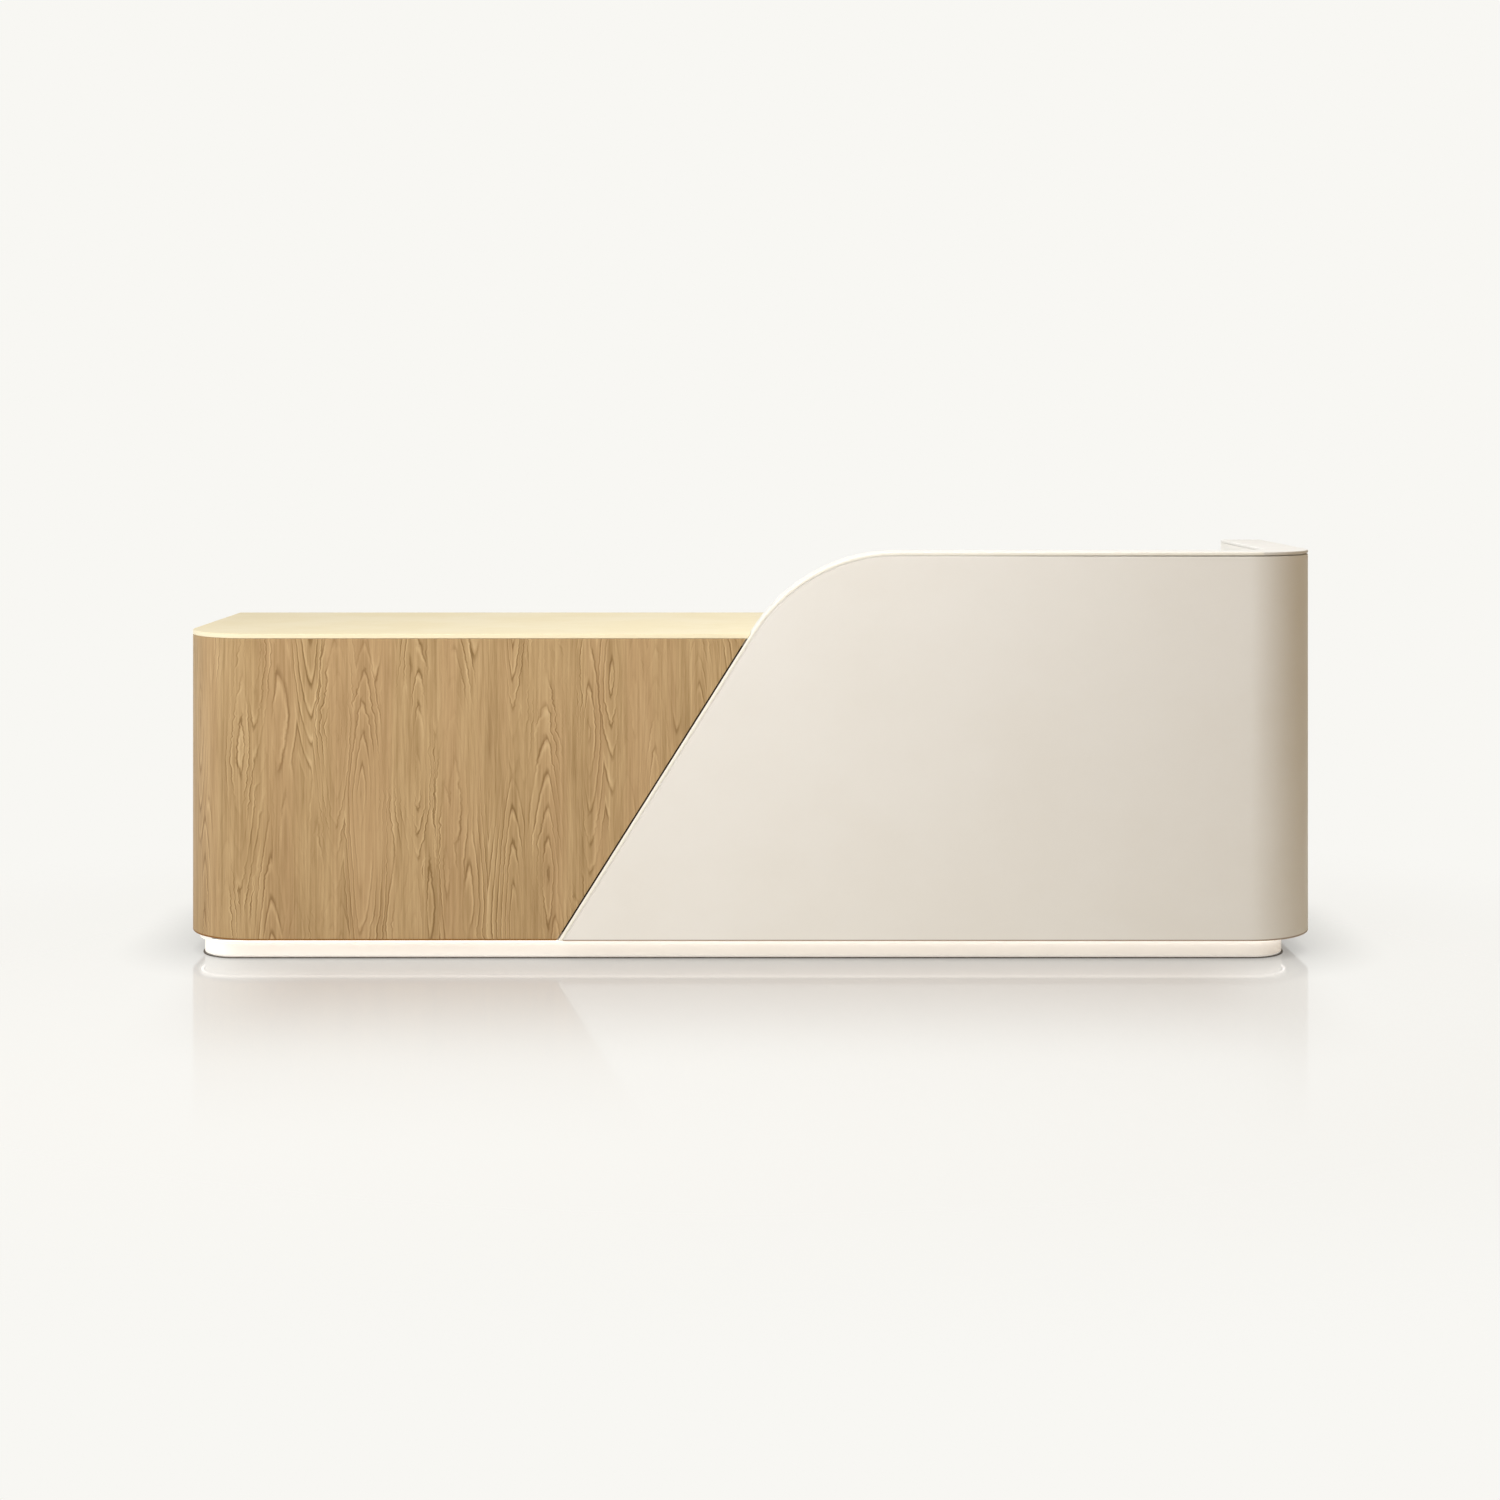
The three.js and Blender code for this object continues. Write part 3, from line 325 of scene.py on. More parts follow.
@dataclass(frozen=True)
class OakVeneer:
    """Satin oak veneer with flame figures, upright streaks and open pores, and painted shade along its lower edge."""

    light: Colour = paint(209, 183, 142)
    middle: Colour = paint(179, 151, 110)
    dark: Colour = paint(135, 107, 68)
    rosy: Colour = paint(188, 153, 116)  # the warmer boards
    pore: Colour = paint(108, 81, 49)
    figure: float = 12.5  # flame figures per metre across the grain
    figure_length: float = 1.7  # and along it
    figure_rings: float = 7.5  # growth rings per figure's half width
    drift_rings: float = 6.0  # how many rings a figure loses or gains beside its neighbours
    sway: float = 0.04  # how far the rings wander
    kink: float = 0.035  # how far they swing aside at a kink
    tooth: float = 0.018  # and at a small tooth
    foot: Colour = paint(140, 99, 52)  # painted shade along the lower edge
    roughness: float = 0.46

    def swing(self, coat: Coat, place: Socket, scale: Sequence[float], reach: float) -> Socket:
        """Push the rings aside with sharp turns, as a saw cut across wavy wood does.

        Args:
            coat: The material's nodes.
            place: Where the point lies on the flat sheet.
            scale: Swings per metre along each axis.
            reach: How far they push.

        Returns:
            The socket with the push.
        """
        wave = coat.math("SUBTRACT", coat.noise(place, scale, 2.0, 0.55), 0.5)
        return coat.math("MULTIPLY", coat.math("ABSOLUTE", wave), reach)

    def rings(self, coat: Coat, place: Socket) -> Tuple[Socket, Socket]:
        """Draw the growth rings: contour lines of a wandering cut through the log.

        Args:
            coat: The material's nodes.
            place: Where the point lies on the flat sheet.

        Returns:
            The dark late wood of the rings and the pale early wood beside it, 0 to 1 each.
        """
        sway = coat.math("SUBTRACT", coat.noise(place, (5.0, 5.0, 0.9), 1.0), 0.5)
        shift = coat.math("MULTIPLY", sway, self.sway)
        wild = coat.band(coat.noise(place, (7.0, 7.0, 4.0), 1.0), 0.4, 0.62, 0.25, 1.0)
        for scale, reach in (((8.0, 8.0, 15.0), self.kink), ((22.0, 22.0, 40.0), self.tooth)):
            shift = coat.math("MULTIPLY_ADD", self.swing(coat, place, scale, reach), wild, shift)
        moved = coat.add("ShaderNodeCombineXYZ", {0: shift}).outputs[0]
        bent = coat.add("ShaderNodeVectorMath", {0: place, 1: moved}, operation="ADD").outputs[0]
        spot = coat.stretched(bent, (self.figure, 0.0, self.figure_length))
        heart = coat.add("ShaderNodeTexVoronoi", {"Vector": spot, "Scale": 1.0, "Exponent": 1.4}, distance="MINKOWSKI")
        drift = coat.noise(bent, (6.0, 6.0, 1.1), 1.0)
        turns = coat.math("MULTIPLY", heart.outputs["Distance"], self.figure_rings)
        turn = coat.math("FRACT", coat.math("MULTIPLY_ADD", drift, self.drift_rings, turns))
        late = coat.math("MULTIPLY", coat.band(turn, 0.0, 0.07), coat.band(turn, 0.07, 0.3, 1.0, 0.0))
        early = coat.math("MULTIPLY", coat.band(turn, 0.66, 0.9), coat.band(turn, 0.9, 1.0, 1.0, 0.0))
        return late, early

    def make(self) -> bpy.types.Material:
        """Build the material."""
        coat = Coat("oak_veneer", self.roughness, Specular_IOR_Level=0.25)
        place = coat.attribute(PLACE, "Vector")
        late, early = self.rings(coat, place)
        shown = coat.band(coat.noise(place, (15.0, 15.0, 2.4), 2.0), 0.44, 0.62, 0.12, 1.0)
        late, early = (coat.math("MULTIPLY", part, shown) for part in (late, early))
        board = coat.noise(place, (11.0, 11.0, 1.6), 2.0, 0.6)
        band = coat.noise(place, (60.0, 60.0, 2.6), 2.0, 0.6)
        streak = coat.noise(place, (170.0, 170.0, 4.5), 3.0, 0.6)
        fibre = coat.noise(place, (640.0, 640.0, 16.0), 2.0)
        tone: Feed = 0.46
        for part, weight in ((board, 0.35), (band, 0.65), (streak, 0.85), (fibre, 0.4)):
            tone = coat.math("MULTIPLY_ADD", coat.math("SUBTRACT", part, 0.5), weight, tone)
        tone = coat.math("MULTIPLY_ADD", early, 0.28, tone)
        tone = coat.math("MULTIPLY_ADD", late, -0.46, tone)
        colour = coat.ramp(tone, ((0.0, self.dark), (0.5, self.middle), (1.0, self.light)))
        warm = coat.band(coat.noise(place, (10.0, 10.0, 0.5), 2.0), 0.46, 0.62, 0.0, 0.2)
        colour = coat.mixed(warm, colour, self.rosy)
        open_pore = coat.band(coat.noise(place, (1500.0, 1500.0, 42.0), 1.0), 0.60, 0.70)
        open_pore = coat.math("MULTIPLY", open_pore, coat.math("MULTIPLY_ADD", late, 0.8, 0.2))
        colour = coat.mixed(coat.math("MULTIPLY", open_pore, 0.55), colour, self.pore)
        worn = coat.math("MULTIPLY", coat.attribute(EDGE, "Fac"), coat.band(fibre, 0.35, 0.7, 0.1, 0.4))
        colour = coat.mixed(worn, colour, self.light)
        # painted shade: the lower edge darkens towards the foot's tone
        low = coat.band(coat.along(coat.place(), 2), *FOOT_SHADE, 1.0, 0.0)
        colour = coat.mixed(low, colour, self.foot)
        rough = coat.band(streak, 0.3, 0.7, self.roughness + 0.07, self.roughness - 0.05)
        normal = coat.relief(coat.math("SUBTRACT", fibre, open_pore), 0.00008, 0.6)
        normal = coat.relief(coat.math("SUBTRACT", early, late), 0.0003, 0.6, normal)
        return coat.finish(colour, rough, normal)


@dataclass(frozen=True)
class Lacquer:
    """Sprayed satin lacquer with a faint orange peel and dulled edges; where set, painted light: a glow, a highlight
    on the foremost edge and shade along the lower edge.
    """

    name: str
    colour: Colour
    shade: Colour  # where the coat is a little thinner
    rubbed: Colour  # on rubbed edges
    roughness: float = 0.48
    glow: float = 0.0  # painted light: the coat glows in its own colour at this strength, added to the light strip's wash
    front: Optional[Colour] = None  # painted highlight on the desk's foremost edge, where it is set
    foot: Optional[Colour] = None  # painted shade along the lower edge, where it is set

    def make(self) -> bpy.types.Material:
        """Build the material."""
        coat = Coat(self.name, self.roughness, Specular_IOR_Level=0.2)
        # painted light: the coat's own glow, where glow is set
        coat.feed(coat.shader.inputs["Emission Color"], self.colour)
        coat.feed(coat.shader.inputs["Emission Strength"], self.glow)
        place = coat.place()
        cloud = coat.noise(place, (2.6, 2.6, 3.4), 4.0, 0.6)
        colour = coat.mixed(coat.band(cloud, 0.32, 0.72, 0.0, 0.5), self.colour, self.shade)
        speck = coat.noise(place, (160.0, 160.0, 160.0), 2.0)
        worn = coat.math("MULTIPLY", coat.attribute(EDGE, "Fac"), coat.band(speck, 0.35, 0.75, 0.1, 0.65))
        colour = coat.mixed(worn, colour, self.rubbed)
        # painted highlight on the foremost edge, where it is set
        if self.front:
            colour = coat.mixed(coat.band(coat.along(place, 1), *FRONT_HIGHLIGHT, 1.0, 0.0), colour, self.front)
        # painted shade along the lower edge, where it is set
        if self.foot:
            colour = coat.mixed(coat.band(coat.along(place, 2), *FOOT_SHADE, 1.0, 0.0), colour, self.foot)
        wipe = coat.noise(place, (7.0, 7.0, 2.2), 5.0, 0.65)
        rough = coat.band(wipe, 0.3, 0.7, self.roughness - 0.05, self.roughness + 0.08)
        peel = coat.noise(place, (430.0, 430.0, 430.0), 1.0)
        return coat.finish(colour, rough, coat.relief(peel, 0.00003, 0.5))


@dataclass(frozen=True)
class Speckled:
    """A dense pale sheet with fine specks: the counter's slab and the worktop's laminate."""

    name: str
    colour: Colour
    speck: Colour
    edge: Colour  # the cut edges under the top face, paler; on the slab partly a painted highlight of its lit front edge
    top: float  # the top face's height
    grain: float  # specks per metre
    roughness: float = 0.38

    def make(self) -> bpy.types.Material:
        """Build the material."""
        coat = Coat(self.name, self.roughness, Specular_IOR_Level=0.18)
        place = coat.place()
        cloud = coat.noise(place, (5.0, 5.0, 5.0), 4.0, 0.6)
        fine = coat.noise(place, (self.grain,) * 3, 2.0, 0.6)
        share = coat.math("MULTIPLY", coat.band(fine, 0.52, 0.7), 0.45)
        share = coat.math("MULTIPLY_ADD", coat.band(cloud, 0.35, 0.7), 0.16, share, clamp=True)
        colour = coat.mixed(share, self.colour, self.speck)
        height = coat.along(place, 2)
        # the paler cut edges; on the slab partly a painted highlight
        colour = coat.mixed(coat.band(height, self.top - 0.6 * MM, self.top - 0.2 * MM, 1.0, 0.0), colour, self.edge)
        worn = coat.math("MULTIPLY", coat.attribute(EDGE, "Fac"), coat.band(fine, 0.4, 0.7, 0.0, 0.4))
        colour = coat.mixed(worn, colour, self.speck)
        rough = coat.band(cloud, 0.3, 0.7, self.roughness - 0.04, self.roughness + 0.07)
        return coat.finish(colour, rough, coat.relief(fine, 0.00003, 0.5))


@dataclass(frozen=True)
class CoatedBoard:
    """Carcass board with a finely grained coated face: warm white inside; dark behind the shadow gaps, a tone that is
    partly painted shade for the gaps.
    """

    name: str
    colour: Colour
    shade: Colour
    roughness: float = 0.5

    def make(self) -> bpy.types.Material:
        """Build the material."""
        coat = Coat(self.name, self.roughness, Specular_IOR_Level=0.35)
        place = coat.place()
        pearl = coat.noise(place, (900.0, 900.0, 900.0), 2.0)
        cloud = coat.noise(place, (4.0, 4.0, 4.0), 4.0, 0.6)
        colour = coat.mixed(coat.band(cloud, 0.3, 0.75, 0.0, 0.7), self.colour, self.shade)
        worn = coat.math("MULTIPLY", coat.attribute(EDGE, "Fac"), coat.band(pearl, 0.4, 0.7, 0.2, 0.8))
        colour = coat.mixed(worn, colour, self.shade)
        rough = coat.band(cloud, 0.3, 0.7, self.roughness - 0.06, self.roughness + 0.08)
        return coat.finish(colour, rough, coat.relief(pearl, 0.00006, 0.6))


@dataclass(frozen=True)
class Softwood:
    """Planed pale timber for studs and battens, with its grain along the given axis."""

    axis: Axis
    light: Colour = paint(222, 192, 148)
    dark: Colour = paint(190, 150, 100)
    roughness: float = 0.62

    def make(self) -> bpy.types.Material:
        """Build the material."""
        coat = Coat("stud_wood_" + self.axis.name.lower(), self.roughness, Specular_IOR_Level=0.25)
        place = coat.place()

        def along(cross: float, length: float) -> List[float]:
            """Clouds per metre across and along the grain, in the order of the axes."""
            return [length if part else cross for part in self.axis.value]

        band = coat.noise(place, along(85.0, 1.4), 3.0, 0.55)
        fibre = coat.noise(place, along(900.0, 16.0), 2.0)
        tone = coat.math("MULTIPLY_ADD", coat.math("SUBTRACT", fibre, 0.5), 0.3, band)
        colour = coat.ramp(tone, ((0.32, self.light), (0.68, self.dark)))
        rough = coat.band(fibre, 0.3, 0.7, self.roughness - 0.06, self.roughness + 0.06)
        return coat.finish(colour, rough, coat.relief(fibre, 0.00012, 0.7))


@dataclass(frozen=True)
class Metal:
    """Brushed or plated metal."""

    name: str
    colour: Colour
    shade: Colour
    brushed: Sequence[float]  # brush marks per metre along each axis
    roughness: float = 0.32

    def make(self) -> bpy.types.Material:
        """Build the material."""
        coat = Coat(self.name, self.roughness, Metallic=1.0)
        place = coat.place()
        marks = coat.noise(place, self.brushed, 4.0, 0.6)
        cloud = coat.noise(place, (30.0, 30.0, 30.0), 3.0)
        colour = coat.mixed(coat.band(marks, 0.3, 0.7, 0.0, 0.8), self.colour, self.shade)
        colour = coat.mixed(coat.band(cloud, 0.4, 0.8, 0.0, 0.35), colour, self.shade)
        rough = coat.band(marks, 0.3, 0.7, self.roughness - 0.07, self.roughness + 0.1)
        return coat.finish(colour, rough, coat.relief(marks, 0.00002, 0.6))


@dataclass(frozen=True)
class Plastic:
    """Moulded plastic with a fine spark grain."""

    name: str
    colour: Colour
    shade: Colour
    roughness: float = 0.45

    def make(self) -> bpy.types.Material:
        """Build the material."""
        coat = Coat(self.name, self.roughness)
        place = coat.place()
        grain = coat.noise(place, (1400.0, 1400.0, 1400.0), 2.0)
        cloud = coat.noise(place, (45.0, 45.0, 45.0), 3.0)
        colour = coat.mixed(coat.band(cloud, 0.3, 0.75), self.colour, self.shade)
        worn = coat.math("MULTIPLY", coat.attribute(EDGE, "Fac"), coat.band(cloud, 0.3, 0.7, 0.1, 0.8))
        colour = coat.mixed(worn, colour, self.shade)
        rough = coat.band(cloud, 0.3, 0.7, self.roughness - 0.08, self.roughness + 0.08)
        return coat.finish(colour, rough, coat.relief(grain, 0.00005, 0.6))


@dataclass(frozen=True)
class OpalGlow:
    """The lit opal cover of the light strip, with faintly brighter spots over the lamps."""

    name: str = "opal_diffuser"
    colour: Colour = paint(255, 246, 242)
    strength: float = 1.85
    pitch: float = 0.0166  # between two lamps

    def make(self) -> bpy.types.Material:
        """Build the material."""
        coat = Coat(self.name, 0.5)
        place = coat.place()
        spots = coat.noise(place, (1 / self.pitch, 1 / self.pitch, 1.0), 1.0)
        glow = coat.band(spots, 0.3, 0.7, self.strength * 0.94, self.strength * 1.06)
        coat.feed(coat.shader.inputs["Base Color"], paint(240, 238, 232))
        coat.feed(coat.shader.inputs["Emission Color"], self.colour)
        coat.feed(coat.shader.inputs["Emission Strength"], glow)
        return coat.material


class Finishes:
    """All finishes of the desk, one material for each slot and for the few small things beside them."""

    def __init__(self) -> None:
        """Build every material."""
        brushed_long = (40.0, 900.0, 900.0)
        self.by_slot: Dict[Slot, bpy.types.Material] = {
            Slot.OAK: OakVeneer().make(),
            # the cream's foot tone is painted shade along the wall's lower edge
            Slot.LACQUER: Lacquer(
                "cream_lacquer", paint(234, 233, 230), paint(230, 228, 223), paint(246, 243, 236), foot=paint(178, 164, 150)
            ).make(),
            # the plinth's glow is painted light on top of the light strip's real wash
            Slot.PLINTH: Lacquer(
                "plinth_white", paint(243, 240, 235), paint(238, 234, 227), paint(224, 219, 211), glow=0.305
            ).make(),
            # the slab's paler edge tone is partly a painted highlight of its lit front edge
            Slot.SLAB: Speckled(
                "pale_slab", paint(229, 218, 182), paint(219, 206, 168), paint(242, 232, 202), 0.8, 520.0
            ).make(),
            Slot.LAMINATE: Speckled(
                "worktop_laminate", paint(226, 219, 206), paint(206, 197, 181), paint(232, 227, 216), 0.75, 700.0
            ).make(),
            Slot.BOARD: CoatedBoard("white_board", paint(232, 229, 222), paint(220, 215, 205)).make(),
            # the dark board's near-black tone is partly painted shade, standing in for the shade in the shadow gaps
            Slot.DARK: CoatedBoard("dark_board", paint(50, 38, 27), paint(38, 29, 21)).make(),
            Slot.TIMBER: Softwood(Axis.X).make(),
            Slot.ALUMINIUM: Metal("aluminium", paint(196, 196, 194), paint(168, 168, 166), brushed_long).make(),
            Slot.STEEL: Metal(
                "runner_steel", paint(188, 190, 192), paint(150, 152, 155), (600.0, 30.0, 600.0), 0.36
            ).make(),
            Slot.OPAL: OpalGlow().make(),
            Slot.PLASTIC: Plastic("black_plastic", paint(34, 34, 35), paint(52, 52, 53)).make(),
        }
        self.capping = Lacquer(
            "cream_lacquer_edge",
            paint(227, 227, 225),
            paint(224, 223, 219),
            paint(234, 233, 231),
            # painted highlight on the capping's front face
            front=paint(246, 244, 236),
        ).make()
        self.opal_lip = OpalGlow("opal_lip", paint(255, 249, 238), 1.02).make()
        self.upright_timber = Softwood(Axis.Z).make()
        self.cross_timber = Softwood(Axis.Y).make()
        self.upright_aluminium = Metal(
            "aluminium_upright", paint(196, 196, 194), paint(168, 168, 166), (900.0, 900.0, 40.0)
        ).make()
        self.screw = Metal("screw_zinc", paint(205, 200, 186), paint(160, 156, 146), (700.0, 700.0, 700.0), 0.3).make()
        # a dark strip on the floor at the plinth's foot: painted shade for the contact shadow
        self.shade_strip = Plastic("floor_shade_strip", paint(92, 86, 78), paint(76, 70, 63), 0.7).make()
        # the bores' dark mouths: painted shade for the holes
        self.bore = Plastic("bore_shadow", paint(58, 52, 45), paint(42, 38, 33), 0.8).make()
        self.cap = Plastic("cover_cap_white", paint(226, 223, 216), paint(214, 210, 202)).make()

    def __getitem__(self, slot: Slot) -> bpy.types.Material:
        """The material of a slot."""
        return self.by_slot[slot]


@dataclass
class Softening:
    """How a copied board is eased: its sharp edges get a small round."""

    width: float = 1.0 * MM
    steps: int = 3
    shortest: float = 2.0 * MM  # edges shorter than this, such as those of a bore, stay sharp

    def copy(self, node: str) -> bmesh.types.BMesh:
        """Copy a node's mesh, join its loose triangles and ease its edges.

        Args:
            node: The node's name.

        Returns:
            The eased mesh, with the eased edges marked.
        """
        mesh = bmesh.new()
        mesh.from_mesh(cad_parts[node].data)
        bmesh.ops.remove_doubles(mesh, verts=mesh.verts, dist=MERGE)
        bmesh.ops.dissolve_limit(
            mesh, angle_limit=FLAT, use_dissolve_boundaries=False, verts=mesh.verts, edges=mesh.edges
        )
        mark = mesh.faces.layers.float.new(EDGE)
        sharp = [
            edge
            for edge in mesh.edges
            if edge.is_manifold and edge.calc_face_angle() > CREASE and edge.calc_length() > self.shortest
        ]
        if sharp and self.width > 0:
            made = bmesh.ops.bevel(
                mesh,
                geom=sharp,
                offset=self.width,
                offset_type="OFFSET",
                segments=self.steps,
                profile=0.5,
                affect="EDGES",
                clamp_overlap=True,
            )
            for face in made["faces"]:
                face[mark] = 1.0
        for edge in mesh.edges:
            eased = any(face[mark] for face in edge.link_faces)
            edge.smooth = eased or (edge.is_manifold and edge.calc_face_angle() < CREASE)
        return mesh


class Workshop:
    """Makes finished pieces: turns meshes into objects, dresses them and ties them to the desk's bodies."""

    def __init__(self, finishes: Finishes) -> None:
        """Keep the finishes and start the count of pieces."""
        self.finishes = finishes
        self.made = 0

    def settle(self, obj: bpy.types.Object, body: Body, slot: Slot, nodes: Iterable[str] = ()) -> bpy.types.Object:
        """Tie a piece to its body and hide the frame's nodes that it stands for.

        Args:
            obj: The piece.
            body: The body that it moves with.
            slot: Not used.
            nodes: The frame's nodes that it stands for.

        Returns:
            The piece.
        """
        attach(obj, body.value)
        names = list(nodes)
        if names:
            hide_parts(*names)
        self.made += 1
        LOG.info("piece %s on %s", obj.name, body.value)
        return obj

    def object_from(self, mesh: bmesh.types.BMesh, name: str, materials: Sequence[bpy.types.Material]) -> bpy.types.Object:
        """Turn a mesh into an object with smooth shading that keeps its flats flat.

        Args:
            mesh: The mesh, which is used up.
            name: The piece's name.
            materials: Its materials, in the order of its faces' numbers.

        Returns:
            The object, in the scene.
        """
        for face in mesh.faces:
            face.smooth = True
        data = bpy.data.meshes.new(name)
        mesh.to_mesh(data)
        mesh.free()
        for material in materials:
            data.materials.append(material)
        obj = bpy.data.objects.new(name, data)
        bpy.context.scene.collection.objects.link(obj)
        flats = obj.modifiers.new("flat_faces", "WEIGHTED_NORMAL")
        flats.weight = 80
        flats.keep_sharp = True
        return obj

    def eased(
        self,
        node: str,
        body: Body,
        slot: Slot,
        softening: Softening,
        flat: Optional[Callable[[Vector], Vector]] = None,
        material: Optional[bpy.types.Material] = None,
    ) -> bpy.types.Object:
        """Make an eased piece that stands for one node.

        Args:
            node: The node's name.
            body: The body that the piece moves with.
            slot: The slot that its finish comes from.
            softening: How its edges are eased.
            flat: Where a point lies on its flat sheet of veneer, for a veneered piece.
            material: Its material, where it isn't the slot's own.

        Returns:
            The piece.
        """
        mesh = softening.copy(node)
        if flat is not None:
            layer = mesh.verts.layers.float_vector.new(PLACE)
            for vert in mesh.verts:
                vert[layer] = flat(vert.co)
        obj = self.object_from(mesh, node + "_eased", [material or self.finishes[slot]])
        return self.settle(obj, body, slot, [node])

    def dress(self, nodes: Iterable[str], slot: Slot, material: Optional[bpy.types.Material] = None) -> None:
        """Give nodes that keep their own shape a better finish.

        Args:
            nodes: The nodes' names.
            slot: The slot of the finish.
            material: The finish, where it isn't the slot's own.
        """
        for node in nodes:
            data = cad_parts[node].data
            data.materials.clear()
            data.materials.append(material or self.finishes[slot])
            LOG.info("dressed %s", node)

    def grown(
        self,
        tree: bpy.types.NodeTree,
        name: str,
        points: Sequence[Vector],
        edges: Sequence[Tuple[int, int]],
        inputs: Dict[str, object],
    ) -> bpy.types.Object:
        """Grow a piece from points or a line with a geometry tree, and make it a plain mesh.

        Args:
            tree: The geometry tree.
            name: The piece's name.
            points: Where the tree starts from.
            edges: Which points are joined into a line.
            inputs: The tree's inputs by their shown names.

        Returns:
            The object, in the scene.
        """
        seed = bpy.data.meshes.new(name + "_seed")
        seed.from_pydata([tuple(point) for point in points], list(edges), [])
        obj = bpy.data.objects.new(name, seed)
        bpy.context.scene.collection.objects.link(obj)
        modifier = obj.modifiers.new("grow", "NODES")
        modifier.node_group = tree
        for item in tree.interface.items_tree:
            if item.item_type == "SOCKET" and item.in_out == "INPUT" and item.name in inputs:
                modifier[item.identifier] = inputs[item.name]
        graph = bpy.context.evaluated_depsgraph_get()
        data = bpy.data.meshes.new_from_object(obj.evaluated_get(graph))
        obj.modifiers.remove(modifier)
        obj.data = data
        data.name = name
        bpy.data.meshes.remove(seed)
        mesh = bmesh.new()
        mesh.from_mesh(data)
        bmesh.ops.remove_doubles(mesh, verts=mesh.verts, dist=MERGE)
        bmesh.ops.recalc_face_normals(mesh, faces=mesh.faces)
        mesh.to_mesh(data)
        mesh.free()
        return obj


class GrowTree(Graph):
    """A geometry tree with named inputs."""

    def __init__(self, name: str, floats: Dict[str, float], others: Sequence[Tuple[str, str]]) -> None:
        """Start the tree.

        Args:
            name: The tree's name.
            floats: Its sizes and their usual values.
            others: Its other inputs, as name and kind of socket.
        """
        super().__init__(bpy.data.node_groups.new(name, "GeometryNodeTree"))
        shown = self.tree.interface
        shown.new_socket("Geometry", in_out="INPUT", socket_type="NodeSocketGeometry")
        for label, usual in floats.items():
            shown.new_socket(label, in_out="INPUT", socket_type="NodeSocketFloat").default_value = usual
        for label, kind in others:
            shown.new_socket(label, in_out="INPUT", socket_type=kind)
        shown.new_socket("Geometry", in_out="OUTPUT", socket_type="NodeSocketGeometry")
        self.inputs = self.add("NodeGroupInput").outputs

    def close(self, geometry: Socket) -> bpy.types.NodeTree:
        """Send the geometry to the tree's output.

        Args:
            geometry: What the tree makes.

        Returns:
            The finished tree.
        """
        self.add("NodeGroupOutput", {0: geometry})
        return self.tree

    def coated(self, geometry: Socket, material: Socket) -> Socket:
        """The geometry with a material."""
        return self.add("GeometryNodeSetMaterial", {"Geometry": geometry, "Material": material}).outputs[0]

    def moved(self, geometry: Socket, **places: Feed) -> Socket:
        """The geometry, moved, turned or scaled."""
        return self.add("GeometryNodeTransform", {"Geometry": geometry, **places}).outputs[0]

    def triple(self, x: Feed, y: Feed, z: Feed) -> Socket:
        """Three numbers as one vector."""
        return self.add("ShaderNodeCombineXYZ", {0: x, 1: y, 2: z}).outputs[0]


def strip_tree() -> bpy.types.NodeTree:
    """Build the tree that sweeps a strip with rounded edges along a line.

    Returns:
        The tree, with inputs Width, Thickness, Round and Finish.
    """
    sizes = {"Width": 0.02, "Thickness": 0.008, "Round": 0.001}
    tree = GrowTree("swept_strip", sizes, [("Finish", "NodeSocketMaterial")])
    curve = tree.add("GeometryNodeMeshToCurve", {"Mesh": tree.inputs["Geometry"]}).outputs[0]
    level = tree.add("GeometryNodeSetCurveNormal", {"Curve": curve})
    level.mode = "Z_UP"
    outline = tree.add(
        "GeometryNodeCurvePrimitiveQuadrilateral",
        {"Width": tree.inputs["Width"], "Height": tree.inputs["Thickness"]},
    ).outputs[0]
    rounded = tree.add(
        "GeometryNodeFilletCurve", {"Curve": outline, "Radius": tree.inputs["Round"], "Count": 4}, mode="POLY"
    ).outputs[0]
    swept = tree.add(
        "GeometryNodeCurveToMesh", {"Curve": level.outputs[0], "Profile Curve": rounded, "Fill Caps": True}
    ).outputs[0]
    real = tree.add("GeometryNodeRealizeInstances", {"Geometry": swept}).outputs[0]
    return tree.close(tree.coated(real, tree.inputs["Finish"]))


